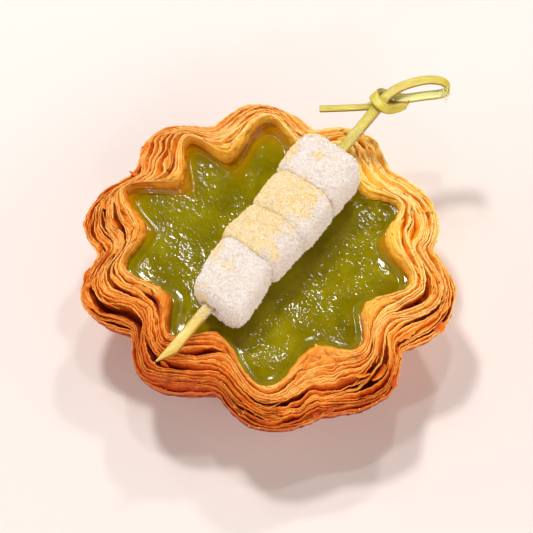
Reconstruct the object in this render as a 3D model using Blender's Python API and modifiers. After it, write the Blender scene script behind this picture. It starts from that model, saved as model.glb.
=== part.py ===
# Matcha egg tart in a fluted, layered pastry case, with a knotted bamboo pick of four mochi across it.
# Lengths are metres and +Z is up. The tart stands on z = 0, its middle on the origin, its front at -Y.

import math
import random

import bmesh
import bpy
from mathutils import Matrix, Vector
from mathutils.noise import noise

MM = 0.001

# The wave of the pastry, as (angle in degrees, radius in mm), anticlockwise from the back.
# Even places are the ten lobes and odd places are the folds between them.
CUSTARD_EDGE = (
    (89, 39.0), (110, 29.0), (121.5, 38.6), (137, 30.0), (153.5, 40.0),
    (169, 31.4), (188, 35.9), (209, 28.0), (226, 33.9), (243, 27.0),
    (270, 38.5), (293, 29.6), (309.5, 35.9), (327.5, 29.2), (344.5, 37.2),
    (365, 30.4), (381, 36.3), (397, 30.4), (415, 36.5), (432, 31.5),
)
RIM_EDGE = (
    (92, 47.0), (110, 41.8), (128, 48.0), (143, 42.7), (165.5, 48.4),
    (178, 42.6), (195, 48.2), (213, 39.7), (229, 46.0), (252, 39.6),
    (271, 47.6), (288, 45.4), (304, 48.8), (322.5, 42.7), (342.5, 49.3),
    (363, 42.2), (378.5, 45.9), (401, 42.1), (416.5, 46.2), (433, 41.4),
)
TURNS = len(RIM_EDGE)
RIM_SHARPNESS = 0.75        # under 1, the folds of the rim's outline are tighter than its lobes
RIM_LEAN = 1.2              # over 1, the sides of those folds run steeper
STAR_FULLNESS = 0.24        # how much broader and rounder the pastry's bulges are than the custard's points
STAR_SPREAD = 0.05          # how much steeper the sides between them are
STATIONS_PER_TURN = 10

# Pastry case
REST_RADIUS = 29 * MM       # flat ring that the tart stands on
REST_FLUTE = 0.12           # share of the rim's wave that is left at the foot
RIM_RADIUS = 45 * MM        # middle of the rim's wave
CREST_HEIGHT = 28.2 * MM
RIM_DROP = 6.4 * MM         # from the crest to the outer edge
RIM_SLOPE = math.radians(35)
CREST_ACROSS = 0.13         # where the crest lies, from 0 at the custard to 1 at the outer edge
SHEETS = 5                  # layers of pastry that show as ridges
LIP_PLACE = 0.15            # in each layer's share of the rim: where its lip stands
GAP_PLACE = 0.72            # and where the gap behind it is deepest
LIP_RISE = 0.55 * MM
GAP_AT_FOLD = 0.35 * MM     # the layers are pressed together in the folds
GAP_AT_LOBE = 1.25 * MM     # and fan apart over the lobes
CREST_LIFT = 0.6 * MM       # how much the crest rises and falls on its way round
LAYER_WANDER = 0.022        # how far a layer strays across the rim
WANDER_RATE = 1.9
CAVITY = ((1.0, 5.0), (0.35, 18.0), (0.0, 24.6))    # pull towards the floor's circle, height in mm
ROLL = ((0.0, 25.9), (0.045, 27.3))                 # across, height in mm
SKIN = ((0.0, 20.6), (0.07, 17.6), (0.3, 12.0), (0.62, 6.0), (0.93, 1.2), (1.0, 0.0))
CAVITY_RADIUS = 21 * MM
FLAKES = (                  # lobe or fold, layer, how far it sticks out in mm
    (10.6, 4, 1.5), (11.3, 1, 1.0), (12.7, 3, 0.9), (6.4, 3, 0.9), (4.6, 4, 0.9), (14.8, 4, 1.0),
    (1.3, 2, 0.8),
)
FLAKE_SPAN = 0.22           # in turns

# Custard
CUSTARD_MIDDLE = 24.2 * MM
CUSTARD_RISE = 0.9 * MM     # it climbs the pastry at its edge
CUSTARD_GAP = 0.5 * MM
CUSTARD_CLIMB = 9           # over 1, the rise keeps to the edge
CUSTARD_REACH = (0.3, 0.58, 0.82, 0.94, 1.0)

# Pick: it lies along its own +Y from its point, and its face looks up its own +Z
PICK_POINT = Vector((-25.9, -34.3, 30.2)) * MM
PICK_BEARING = math.radians(52.9)       # in plan, from +X
PICK_CLIMB = math.radians(2.7)
PICK_WIDTH = 2.9 * MM
PICK_THICK = 1.6 * MM
PICK_LENGTH = 92 * MM
POINT_LENGTH = 9 * MM
POINT_WIDTH = 0.12          # share of the width that is left at the point
SHAFT_STEPS = 12
TIE_THICK = 0.8 * MM
TIE_WIDTH = 2.7 * MM
TAIL_WIDTH = 2.0 * MM

# The split end is tied: places in mm in the pick's frame, and the way the strip's face looks there
LOOP_ROUTE = (
    ((0.0, 84.0, 0.2), (0, 0, 1)), ((-0.2, 92.2, 0.3), (0, 0, 1)),
    ((0.4, 96.4, 0.6), (0, 0, 1)), ((2.4, 100.4, 1.2), (0, 0, 1)),
    ((6.0, 104.5, 1.6), (0, 0.1, 1)), ((9.6, 106.6, 1.4), (0.3, 0.3, 1)),
    ((11.7, 106.2, 0.2), (1, 0.6, 0.1)), ((10.6, 104.6, -0.9), (0.2, 0.1, -1)),
    ((7.4, 101.6, -1.1), (0, 0, -1)), ((4.2, 98.5, -1.2), (0, 0, -1)), ((1.2, 96.6, -1.3), (0, 0, -1)),
)
WRAP_ROUTE = (
    ((1.2, 96.6, -1.3), (0, 0, -1)), ((-1.6, 95.8, -1.0), (-0.6, 0.5, -1)),
    ((-2.9, 94.0, 0.5), (-1, 0.2, 0.3)), ((-1.6, 91.9, 1.7), (-0.3, 0, 1)),
    ((0.8, 91.0, 1.9), (0.2, -0.2, 1)), ((2.9, 91.6, 1.1), (0.7, -0.7, 0.7)),
    ((4.4, 94.2, 0.0), (0.9, -0.4, 0.5)), ((5.2, 96.6, -1.2), (0.8, 0.4, -0.5)),
    ((3.4, 96.2, -2.2), (0, 0, -1)), ((0.4, 93.4, -1.9), (0, 0, -1)), ((-2.4, 90.4, -1.2), (0, 0, -1)),
)
TAIL_ROUTE = (
    ((0.4, 93.4, -1.9), (0, 0, 1)), ((-2.4, 90.4, -1.2), (0, 0, 1)),
    ((-7.2, 86.0, -0.7), (0, 0, 1)), ((-12.2, 82.0, -0.6), (0, 0, 1)),
)
STEPS_PER_SPAN = 4

# Mochi from the point's end, in mm: start and end along the pick, width, height, shift to the right,
# shift up, and lean, the shift to the right for each mm along the pick
MOCHI = (
    (19.8, 35.7, 16.0, 13.7, 0.9, 0.2, -0.13),
    (36.0, 47.2, 17.5, 14.9, 0.2, 0.0, 0.08),
    (47.5, 59.0, 18.0, 15.4, 0.5, -0.1, -0.05),
    (59.3, 73.2, 18.8, 16.2, 0.1, -0.2, 0.0),
)
MOCHI_CUSHION = 3.0         # across the pick: 2 gives a round section, more gives a squarer cushion
MOCHI_END = 6.5             # along the pick: the ends are pressed flat, with a small round edge
MOCHI_LUMP = 0.45 * MM
LUMPS_ACROSS = 1.6
MOCHI_STATIONS = 22
MOCHI_RINGS = 13
HOLE_GAP = 0.3 * MM
HOLE_LENGTH = 40 * MM       # longer than any mochi


def hex_colour(code):
    channels = [int(code[i:i + 2], 16) / 255 for i in (1, 3, 5)]
    return [c / 12.92 if c <= 0.04045 else ((c + 0.055) / 1.055) ** 2.4 for c in channels] + [1.0]


def material(name, code, roughness):
    made = bpy.data.materials.new(name)
    made.use_nodes = True
    shader = made.node_tree.nodes["Principled BSDF"]
    shader.inputs["Base Color"].default_value = hex_colour(code)
    shader.inputs["Roughness"].default_value = roughness
    shader.inputs["Metallic"].default_value = 0.0
    return made


def collection(name):
    made = bpy.data.collections.new(name)
    bpy.context.scene.collection.children.link(made)
    return made


def add_object(name, mesh, home, look=None, parent=None):
    made = bpy.data.objects.new(name, mesh)
    home.objects.link(made)
    if look:
        mesh.materials.append(look)
    made.parent = parent
    return made


def as_cutter(obj):
    obj.hide_render = True
    obj.display_type = "WIRE"
    return obj


def wave_point(phase, turns, swing, along):
    # A point between two places of a closed wave: swing moves it in radius and along in angle
    whole = math.floor(phase)
    start_angle, start_radius = turns[whole % TURNS]
    end_angle, end_radius = turns[(whole + 1) % TURNS]
    if end_angle < start_angle:
        end_angle += 360
    angle = math.radians(start_angle + (end_angle - start_angle) * along)
    radius = (start_radius + (end_radius - start_radius) * swing) * MM
    return Vector((math.cos(angle), math.sin(angle), 0)) * radius


def custard_line(phase):
    part = phase % 1.0
    fullness = STAR_FULLNESS if math.floor(phase) % 2 == 0 else -STAR_FULLNESS
    warped = part + fullness * part * (1 - part)
    swing = (1 - math.cos(math.pi * warped)) / 2
    along = part + STAR_SPREAD * math.sin(math.tau * part) / math.tau
    return wave_point(phase, CUSTARD_EDGE, swing, along)


def custard_edge(phase, inset=0.0):
    point = custard_line(phase)
    if inset:
        step = 0.02
        along = custard_line(phase + step) - custard_line(phase - step)
        point += Vector((-along.y, along.x, 0)).normalized() * inset
    return point


def rim_edge(phase, share=1.0):
    # The layers further in take a smaller share of the sharpness of the outline's folds
    sharpness = 1 + (RIM_SHARPNESS - 1) * share
    lean = 1 + (RIM_LEAN - 1) * share
    part = phase % 1.0
    rise = (1 - math.cos(math.pi * part)) / 2
    if math.floor(phase) % 2 == 1:
        return wave_point(phase, RIM_EDGE, rise ** sharpness, part ** lean)
    return wave_point(phase, RIM_EDGE, 1 - (1 - rise) ** sharpness, 1 - (1 - part) ** lean)


def lobe_share(phase):
    # 1 in the middle of a lobe and 0 in the middle of a fold
    return (1 + math.cos(math.pi * phase)) / 2


def circle_at(phase, radius):
    return rim_edge(phase).normalized() * radius


def shaped_sphere(name, stations, rings, place):
    # A sphere whose rings, from the top pole down, move to where place(ring, share of the turn) puts them
    mesh = bpy.data.meshes.new(name)
    shape = bmesh.new()
    bmesh.ops.create_uvsphere(shape, u_segments=stations, v_segments=rings, radius=1.0)
    for vert in shape.verts:
        ring = round(math.acos(max(-1.0, min(1.0, vert.co.z))) / math.pi * rings)
        share = math.atan2(vert.co.y, vert.co.x) / math.tau % 1.0
        vert.co = place(ring, round(share * stations) % stations / stations)
    shape.to_mesh(mesh)
    shape.free()
    mesh.shade_smooth()
    return mesh


def rim_top(phase, across):
    # The rim's top before its layers are cut in: it falls from the crest to the outer edge
    fall = max(0.0, (across - CREST_ACROSS) / (1 - CREST_ACROSS))
    point = custard_edge(phase).lerp(rim_edge(phase, across ** 2), across)
    point.z = CREST_HEIGHT + crest_lift(phase) - RIM_DROP * fall ** 1.25
    return point


def layer_normal(phase):
    out = (rim_edge(phase) - custard_edge(phase)).normalized()
    return out * math.sin(RIM_SLOPE) + Vector((0, 0, math.cos(RIM_SLOPE)))


def crest_lift(phase):
    around = math.tau * phase / TURNS
    return CREST_LIFT * (math.sin(3 * around + 0.6) + 0.6 * math.sin(7 * around))


def turn_distance(first, second):
    gap = abs(first - second) % TURNS
    return min(gap, TURNS - gap)


def case_layers():
    # The rings over the rim's top: a lip for each layer, and the gap between it and the next
    draw = random.Random(11)
    layers = []
    for sheet in range(SHEETS):
        shift = draw.uniform(0, math.tau)
        spread = [draw.uniform(0.45, 1.15) for _ in range(TURNS)]
        layers.append(("lip", sheet, shift, spread))
        layers.append(("gap", sheet, shift, spread))
    return layers[:-1]


def layer_point(phase, layer):
    kind, sheet, shift, spread = layer
    pitch = (1 - CREST_ACROSS) / SHEETS
    wander = LAYER_WANDER * math.sin(phase * WANDER_RATE + shift) * lobe_share(phase)
    across = CREST_ACROSS + pitch * (sheet + (LIP_PLACE if kind == "lip" else GAP_PLACE)) + wander
    if kind == "lip":
        offset = LIP_RISE
        for place, flake_sheet, reach in FLAKES:
            if flake_sheet == sheet:
                offset += reach * MM * math.exp(-(turn_distance(phase, place) / FLAKE_SPAN) ** 2)
    else:
        whole = math.floor(phase)
        before, after = spread[whole % TURNS], spread[(whole + 1) % TURNS]
        depth = before + (after - before) * (phase - whole)
        offset = -(GAP_AT_FOLD + (GAP_AT_LOBE - GAP_AT_FOLD) * depth * lobe_share(phase) ** 1.5)
    return rim_top(phase, across) + layer_normal(phase) * offset


def make_pastry_case(home, look):
    layers = case_layers()
    rings = [("cavity", step) for step in CAVITY] + [("roll", step) for step in ROLL]
    rings += [("layer", layer) for layer in layers] + [("skin", step) for step in SKIN]

    def place(ring, share):
        phase = share * TURNS
        if ring == 0:
            return Vector((0, 0, CAVITY[0][1] * MM))
        if ring > len(rings):
            return Vector((0, 0, 0))
        kind, step = rings[ring - 1]
        if kind == "layer":
            return layer_point(phase, step)
        pull, height = step
        if kind == "cavity":
            point = custard_edge(phase).lerp(circle_at(phase, CAVITY_RADIUS), pull)
        elif kind == "roll":
            point = custard_edge(phase).lerp(rim_edge(phase), pull)
        else:
            flute = (rim_edge(phase) - circle_at(phase, RIM_RADIUS)) * REST_FLUTE
            point = rim_edge(phase).lerp(circle_at(phase, REST_RADIUS) + flute, pull)
        point.z = height * MM
        return point

    mesh = shaped_sphere("pastry_case", TURNS * STATIONS_PER_TURN, len(rings) + 1, place)
    return add_object("pastry_case", mesh, home, look)


def make_custard(home, look):
    rings = [("top", reach) for reach in CUSTARD_REACH] + [("side", step) for step in reversed(CAVITY[:2])]

    def place(ring, share):
        phase = share * TURNS
        if ring == 0:
            return Vector((0, 0, CUSTARD_MIDDLE))
        if ring > len(rings):
            return Vector((0, 0, CAVITY[0][1] * MM + CUSTARD_GAP))
        kind, step = rings[ring - 1]
        edge = custard_edge(phase, CUSTARD_GAP)
        if kind == "top":
            point = edge * step
            point.z = CUSTARD_MIDDLE + CUSTARD_RISE * step ** CUSTARD_CLIMB
            return point
        pull, height = step
        point = edge.lerp(circle_at(phase, CAVITY_RADIUS - CUSTARD_GAP), pull)
        point.z = height * MM + CUSTARD_GAP
        return point

    mesh = shaped_sphere("matcha_custard", TURNS * STATIONS_PER_TURN // 2, len(rings) + 1, place)
    return add_object("matcha_custard", mesh, home, look)


def make_pick_frame(home):
    frame = bpy.data.objects.new("pick_frame", None)
    home.objects.link(frame)
    turn = Matrix.Rotation(PICK_BEARING - math.pi / 2, 4, "Z") @ Matrix.Rotation(PICK_CLIMB, 4, "X")
    frame.matrix_world = Matrix.Translation(PICK_POINT) @ turn
    return frame


def make_mochi(number, home, cutters, frame, look):
    start, end, width, height, right, up, lean = MOCHI[number]
    half = Vector((width, end - start, height)) * MM / 2
    seed = Vector((7.3 * number, 2.1, 5.7))

    def place(ring, share):
        polar = math.pi * ring / MOCHI_RINGS
        polar += 0.15 * math.sin(4 * polar)         # more rings at the round edges
        around = math.tau * share
        across = math.sin(polar)
        way = Vector((across * math.cos(around), math.cos(polar), -across * math.sin(around)))
        section = (abs(way.x) ** MOCHI_CUSHION + abs(way.z) ** MOCHI_CUSHION) ** (1 / MOCHI_CUSHION)
        size = (section ** MOCHI_END + abs(way.y) ** MOCHI_END) ** (-1 / MOCHI_END)
        size *= 1 + noise(way * LUMPS_ACROSS + seed) * MOCHI_LUMP / half.x
        point = Vector(part * reach * size for part, reach in zip(way, half))
        point.y = max(-half.y, min(half.y, point.y))
        point.x += lean * point.y
        return point

    name = f"mochi_{number + 1}"
    mesh = shaped_sphere(name, MOCHI_STATIONS, MOCHI_RINGS, place)
    piece = add_object(name, mesh, home, look, frame)
    piece.location = Vector((right, (start + end) / 2, up)) * MM

    hole_mesh = bpy.data.meshes.new(name + "_hole")
    hole = bmesh.new()
    size = Vector((PICK_WIDTH + 2 * HOLE_GAP, HOLE_LENGTH, PICK_THICK + 2 * HOLE_GAP))
    middle = Matrix.Translation(Vector((0, (start + end) / 2 * MM, 0)))
    bmesh.ops.create_cube(hole, size=1.0, matrix=middle @ Matrix.Diagonal(size.to_4d()))
    hole.to_mesh(hole_mesh)
    hole.free()
    cutter = as_cutter(add_object(name + "_hole", hole_mesh, cutters, None, frame))
    cut = piece.modifiers.new("pick hole", "BOOLEAN")
    cut.operation = "DIFFERENCE"
    cut.object = cutter
    return piece


def smooth_route(route):
    # A smooth run of places and face directions through a route's own places, which are in mm
    places = [Vector(place) * MM for place, _ in route]
    facings = [Vector(facing).normalized() for _, facing in route]
    points = []
    for span in range(len(route) - 1):
        near = [max(0, min(len(route) - 1, span + i)) for i in (-1, 0, 1, 2)]
        a, b, c, d = (places[i] for i in near)
        for step in range(STEPS_PER_SPAN):
            t = step / STEPS_PER_SPAN
            bend = (2 * a - 5 * b + 4 * c - d) * t ** 2 + (3 * b - a - 3 * c + d) * t ** 3
            place = b + ((c - a) * t + bend) / 2
            points.append((place, facings[near[1]].lerp(facings[near[2]], t).normalized()))
    points.append((places[-1], facings[-1]))
    return points


def strip(name, points, width_at, thickness, home, frame):
    # A flat band of bamboo: one row of quads laid along the points, given its thickness by Solidify
    mesh = bpy.data.meshes.new(name)
    band = bmesh.new()
    steps = len(points) - 1
    bmesh.ops.create_grid(band, x_segments=steps, y_segments=1, size=1.0)
    for vert in band.verts:
        step = round((vert.co.x + 1) / 2 * steps)
        place, facing = points[step]
        along = points[min(step + 1, steps)][0] - points[max(step - 1, 0)][0]
        side = along.cross(facing).normalized() * width_at(step / steps) / 2
        vert.co = place + (side if vert.co.y < 0 else -side)
    band.to_mesh(mesh)
    band.free()
    made = add_object(name, mesh, home, None, frame)
    wall = made.modifiers.new("thickness", "SOLIDIFY")
    wall.thickness = thickness
    wall.offset = 0.0
    return made


def shaft_points():
    places = [PICK_LENGTH * step / SHAFT_STEPS for step in range(SHAFT_STEPS + 1)]
    return [(Vector((0, place, 0)), Vector((0, 0, 1))) for place in places]


def shaft_width(share):
    return PICK_WIDTH * min(1.0, POINT_WIDTH + share * PICK_LENGTH / POINT_LENGTH)


def make_pick(home, cutters, frame, look):
    pick = strip("bamboo_pick", shaft_points(), shaft_width, PICK_THICK, home, frame)
    pick.data.materials.append(look)
    ties = (
        ("loop", LOOP_ROUTE, TIE_WIDTH), ("wrap", WRAP_ROUTE, TIE_WIDTH), ("tail", TAIL_ROUTE, TAIL_WIDTH),
    )
    for name, route, width in ties:
        band = strip(name, smooth_route(route), lambda share: width, TIE_THICK, cutters, frame)
        join = pick.modifiers.new("join " + name, "BOOLEAN")
        join.operation = "UNION"
        join.object = as_cutter(band)
    return pick


def main():
    for obj in list(bpy.data.objects):
        bpy.data.objects.remove(obj, do_unlink=True)
    home = collection("matcha_egg_tart")
    cutters = collection("cutters")
    make_pastry_case(home, material("baked puff pastry", "#E39A45", 0.55))
    make_custard(home, material("matcha custard", "#6F7A14", 0.18))
    frame = make_pick_frame(home)
    mochi = material("starch dusted mochi", "#E6DCD4", 0.85)
    for number in range(len(MOCHI)):
        make_mochi(number, home, cutters, frame, mochi)
    make_pick(home, cutters, frame, material("green bamboo skin", "#CDBB4C", 0.5))


main()
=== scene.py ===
import math

import bmesh
import bpy
import numpy as np
from mathutils import Matrix, Vector
from mathutils.noise import fractal, noise


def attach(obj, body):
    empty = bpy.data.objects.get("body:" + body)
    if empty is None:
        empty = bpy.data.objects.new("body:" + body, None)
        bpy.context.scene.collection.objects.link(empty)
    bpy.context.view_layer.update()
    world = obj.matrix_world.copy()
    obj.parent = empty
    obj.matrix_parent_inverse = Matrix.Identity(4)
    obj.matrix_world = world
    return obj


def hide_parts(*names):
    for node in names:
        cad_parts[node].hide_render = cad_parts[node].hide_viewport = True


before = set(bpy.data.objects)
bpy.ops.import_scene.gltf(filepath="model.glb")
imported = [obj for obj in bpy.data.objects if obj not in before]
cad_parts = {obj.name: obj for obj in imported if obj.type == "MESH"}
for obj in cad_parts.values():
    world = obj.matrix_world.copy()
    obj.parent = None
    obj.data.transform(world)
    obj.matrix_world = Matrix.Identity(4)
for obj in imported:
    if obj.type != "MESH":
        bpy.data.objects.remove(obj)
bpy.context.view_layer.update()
mm = 0.001

tart = {
    # the two waves of the case, as (angle in degrees, radius): even places are lobes, odd ones folds
    "custardEdge": (
        (89, 39.0), (110, 29.0), (121.5, 38.6), (137, 30.0), (153.5, 40.0), (169, 31.4), (188, 35.9),
        (209, 28.0), (226, 33.9), (243, 27.0), (270, 38.5), (293, 29.6), (309.5, 35.9), (327.5, 29.2),
        (344.5, 37.2), (365, 30.4), (381, 36.3), (397, 30.4), (415, 36.5), (432, 31.5)),
    "rimEdge": (
        (92, 47.0), (110, 41.8), (128, 48.0), (143, 42.7), (165.5, 48.4), (178, 42.6), (195, 48.2),
        (213, 39.7), (229, 46.0), (252, 39.6), (271, 47.6), (288, 45.4), (304, 48.8), (322.5, 42.7),
        (342.5, 49.3), (363, 42.2), (378.5, 45.9), (401, 42.1), (416.5, 46.2), (433, 41.4)),
    "crestHeight": 28.2,
    "crestAcross": 0.13,
    "rimDrop": 6.4,
    "crestLift": 0.6,
    "restRadius": 29,
    "restFlute": 0.12,
    "rimRadius": 45,
    "cavityRadius": 21,
    "rimSharpness": 0.75,
    "rimLean": 1.2,
    "starFullness": 0.24,
    "starSpread": 0.05,
}
turns = len(tart["rimEdge"])


def linearColour(code):
    # sRGB hex to the linear colour that the shaders work in
    parts = [int(code[i:i + 2], 16) / 255 for i in (1, 3, 5)]
    return [p / 12.92 if p <= 0.04045 else ((p + 0.055) / 1.055) ** 2.4 for p in parts] + [1.0]


def setInputs(tree, node, inputs):
    # An input is a value, the output that it is linked to, or a node whose first output it takes
    for name, value in inputs.items():
        if isinstance(value, bpy.types.Node):
            value = value.outputs[0]
        if isinstance(value, bpy.types.NodeSocket):
            tree.links.new(value, node.inputs[name])
        else:
            node.inputs[name].default_value = value


def addNode(tree, kind, inputs=None, stops=None, **settings):
    # One node with its settings, its inputs and, on a colour ramp, its stops
    node = tree.nodes.new(kind)
    for name, value in settings.items():
        setattr(node, name, value)
    setInputs(tree, node, inputs or {})
    if stops:
        ramp = node.color_ramp.elements
        while len(ramp) < len(stops):
            ramp.new(1.0)
        for element, (place, code) in zip(ramp, stops):
            element.position = place
            element.color = linearColour(code)
    return node


def newMaterial(name):
    material = bpy.data.materials.new(name)
    material.use_nodes = True
    tree = material.node_tree
    return material, tree, tree.nodes["Principled BSDF"]


def between(values, place, smooth=False):
    # Values round a closed ring, joined smoothly or by straight lines
    count = len(values)
    whole = np.floor(place).astype(int)
    part = place - whole
    if smooth:
        part = part * part * (3 - 2 * part)
    return values[whole % count] * (1 - part) + values[(whole + 1) % count] * part


def wobble(draw, phase, cells, smooth=True):
    # Random numbers from -1 to 1 round the tart, one for each cell
    return between(draw.uniform(-1, 1, cells), (phase / turns * cells) % cells, smooth)


def hills(points, size):
    # Smooth random heights from about -0.7 to 0.7, for points in millimetres
    heights = [noise(Vector(point) / size) for point in points.reshape(-1, 3)]
    return np.array(heights).reshape(points.shape[:-1])


def turnDistance(first, second):
    # How far apart two places are round the tart, the shorter way
    gap = np.abs(first - second) % turns
    return np.minimum(gap, turns - gap)


def wavePoint(phase, places, swing, along):
    # Points between the places of a closed wave: swing moves them in radius and along in angle
    table = np.array(places, float)
    whole = np.floor(phase).astype(int)
    start, end = table[whole % turns], table[(whole + 1) % turns]
    endAngle = np.where(end[..., 0] < start[..., 0], end[..., 0] + 360, end[..., 0])
    angle = np.radians(start[..., 0] + (endAngle - start[..., 0]) * along)
    radius = start[..., 1] + (end[..., 1] - start[..., 1]) * swing
    return np.stack([np.cos(angle) * radius, np.sin(angle) * radius, 0 * radius], -1)


def custardLine(phase):
    # The edge of the custard, as a wave with narrow tips and wide, full folds
    part = phase % 1.0
    fullness = np.where(np.floor(phase) % 2 == 0, tart["starFullness"], -tart["starFullness"])
    warped = part + fullness * part * (1 - part)
    swing = (1 - np.cos(np.pi * warped)) / 2
    along = part + tart["starSpread"] * np.sin(math.tau * part) / math.tau
    return wavePoint(phase, tart["custardEdge"], swing, along)


def custardEdge(phase, inset=0.0):
    # The same edge moved sideways, towards the middle of the tart
    along = custardLine(phase + 0.02) - custardLine(phase - 0.02)
    along /= np.linalg.norm(along, axis=-1, keepdims=True)
    return custardLine(phase) + np.stack([-along[..., 1], along[..., 0], 0 * along[..., 0]], -1) * inset


def rimLine(phase, share):
    # The layers further in take a smaller share of the sharpness of the outline's folds
    sharpness = 1 + (tart["rimSharpness"] - 1) * share
    lean = 1 + (tart["rimLean"] - 1) * share
    part = phase % 1.0
    rise = (1 - np.cos(np.pi * part)) / 2
    atFold = np.floor(phase) % 2 == 1
    swing = np.where(atFold, rise ** sharpness, 1 - (1 - rise) ** sharpness)
    along = np.where(atFold, part ** lean, 1 - (1 - part) ** lean)
    return wavePoint(phase, tart["rimEdge"], swing, along)


def rimEdge(phase, share=1.0):
    # the baked dough rounds its sharpest folds a little
    return sum(rimLine(phase + shift, share) for shift in (-0.12, -0.06, 0.0, 0.06, 0.12)) / 5


def circleAt(phase, radius):
    # A circle whose points lie in the same directions as the rim's
    edge = rimEdge(phase)
    return edge / np.linalg.norm(edge, axis=-1, keepdims=True) * radius


def lobeShare(phase):
    # 1 at the middle of a lobe and 0 in a fold
    return (1 + np.cos(np.pi * phase)) / 2


def outward(phase):
    # The level direction across the band, from the custard to the rim
    way = rimEdge(phase) - custardEdge(phase)
    return way / np.linalg.norm(way, axis=-1, keepdims=True)


def rimTop(phase, across):
    # The top of the crust at a share of the way across the band
    across = across + 0 * phase
    fall = np.clip((across - tart["crestAcross"]) / (1 - tart["crestAcross"]), 0, None)
    inner, outer = custardEdge(phase), rimEdge(phase, np.clip(across, 0, 1) ** 2)
    point = inner + (outer - inner) * across[..., None]
    around = math.tau * phase / turns
    lift = tart["crestLift"] * (np.sin(3 * around + 0.6) + 0.6 * np.sin(7 * around))
    point[..., 2] = tart["crestHeight"] + lift - tart["rimDrop"] * fall ** 1.25
    return point


def gridFaces(stations, rows, ringRows):
    # Quads over a grid that closes on itself round the tart, and across too where ringRows says so
    here = np.arange(stations)[:, None]
    row = np.arange(rows if ringRows else rows - 1)[None, :]
    after, nextRow = (here + 1) % stations, (row + 1) % rows
    corners = [here * rows + row, after * rows + row, after * rows + nextRow, here * rows + nextRow]
    return np.stack(np.broadcast_arrays(*corners), -1).reshape(-1, 4)


def stripFaces(first, rows, stations):
    # Quads round a short closed strip of rows x stations points, and a face at each of its ends
    faces = []
    for row in range(rows):
        here = first + row * stations
        after = first + (row + 1) % rows * stations
        faces += [[here + i, here + i + 1, after + i + 1, after + i] for i in range(stations - 1)]
    faces.append([first + row * stations for row in range(rows)])
    faces.append([first + row * stations + stations - 1 for row in reversed(range(rows))])
    return faces


def addPiece(name, points, faces, material, values=None, uv=None, nodes=()):
    # A finished mesh on the tart's one body, with its faces turned outwards
    corners = [points[np.array([f[i] for f in faces])] for i in range(3)]
    volume = np.einsum("ij,ij->i", corners[0], np.cross(corners[1], corners[2])).sum()
    if volume < 0:
        faces = [list(reversed(f)) for f in faces]
    mesh = bpy.data.meshes.new(name)
    mesh.from_pydata((points * mm).tolist(), [], [list(map(int, f)) for f in faces])
    for key, value in (values or {}).items():
        layer = mesh.attributes.new(key, "FLOAT", "POINT")
        layer.data.foreach_set("value", np.ascontiguousarray(value, np.float32).ravel())
    if uv is not None:
        corner = np.zeros(len(mesh.loops), np.int32)
        mesh.loops.foreach_get("vertex_index", corner)
        layer = mesh.uv_layers.new(name="alongAndDeep")
        layer.data.foreach_set("uv", uv[corner].astype(np.float32).ravel())
    mesh.materials.append(material)
    mesh.shade_smooth()
    obj = bpy.data.objects.new(name, mesh)
    bpy.context.scene.collection.objects.link(obj)
    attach(obj, "root")
    if nodes:
        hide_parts(*nodes)
    return obj


def gridPiece(name, grid, material, values=None, uv=None, nodes=(), poles=False):
    # grid is stations x rows x 3; with poles its first and last rows close at one point each
    stations, rows = grid.shape[:2]
    faces = gridFaces(stations, rows, not poles).tolist()
    points = grid.reshape(-1, 3)
    if poles:
        first, last = len(points), len(points) + 1
        points = np.vstack([points, grid[:, 0].mean(0), grid[:, -1].mean(0)])
        for here in range(stations):
            after = (here + 1) % stations
            faces.append([first, after * rows, here * rows])
            faces.append([last, here * rows + rows - 1, after * rows + rows - 1])
        values = {key: np.append(value.ravel(), [value[0, 0], value[0, -1]])
                  for key, value in (values or {}).items()}
        if uv is not None:
            uv = np.vstack([uv.reshape(-1, 2), uv[0, 0], uv[0, -1]])
    elif uv is not None:
        uv = uv.reshape(-1, 2)
    return addPiece(name, points, faces, material, values, uv, nodes)


def newTree(name, inputs):
    # A geometry tree with named inputs, given as (name, kind, value)
    tree = bpy.data.node_groups.new(name, "GeometryNodeTree")
    tree.interface.new_socket("Geometry", in_out="INPUT", socket_type="NodeSocketGeometry")
    for label, kind, value in inputs:
        socket = tree.interface.new_socket(label, in_out="INPUT", socket_type="NodeSocket" + kind)
        if value is not None:
            socket.default_value = value
    tree.interface.new_socket("Geometry", in_out="OUTPUT", socket_type="NodeSocketGeometry")
    return tree, addNode(tree, "NodeGroupInput").outputs


def growPiece(name, base, tree, values):
    # Runs a geometry tree over a base mesh and keeps the result as a plain mesh
    holder = bpy.data.objects.new(name + "Base", base)
    bpy.context.scene.collection.objects.link(holder)
    grower = holder.modifiers.new("grow", "NODES")
    grower.node_group = tree
    for item in tree.interface.items_tree:
        if item.in_out == "INPUT" and item.name in values:
            grower[item.identifier] = values[item.name]
    holder.update_tag()
    bpy.context.view_layer.update()
    mesh = bpy.data.meshes.new_from_object(holder.evaluated_get(bpy.context.evaluated_depsgraph_get()))
    bpy.data.objects.remove(holder)
    mesh.name = name
    obj = bpy.data.objects.new(name, mesh)
    bpy.context.scene.collection.objects.link(obj)
    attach(obj, "root")
    return obj


def joinMeshes(name, objects):
    # One mesh made of the meshes of several objects
    joined = bmesh.new()
    for obj in objects:
        joined.from_mesh(obj.data)
    mesh = bpy.data.meshes.new(name)
    joined.to_mesh(mesh)
    joined.free()
    return mesh


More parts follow.
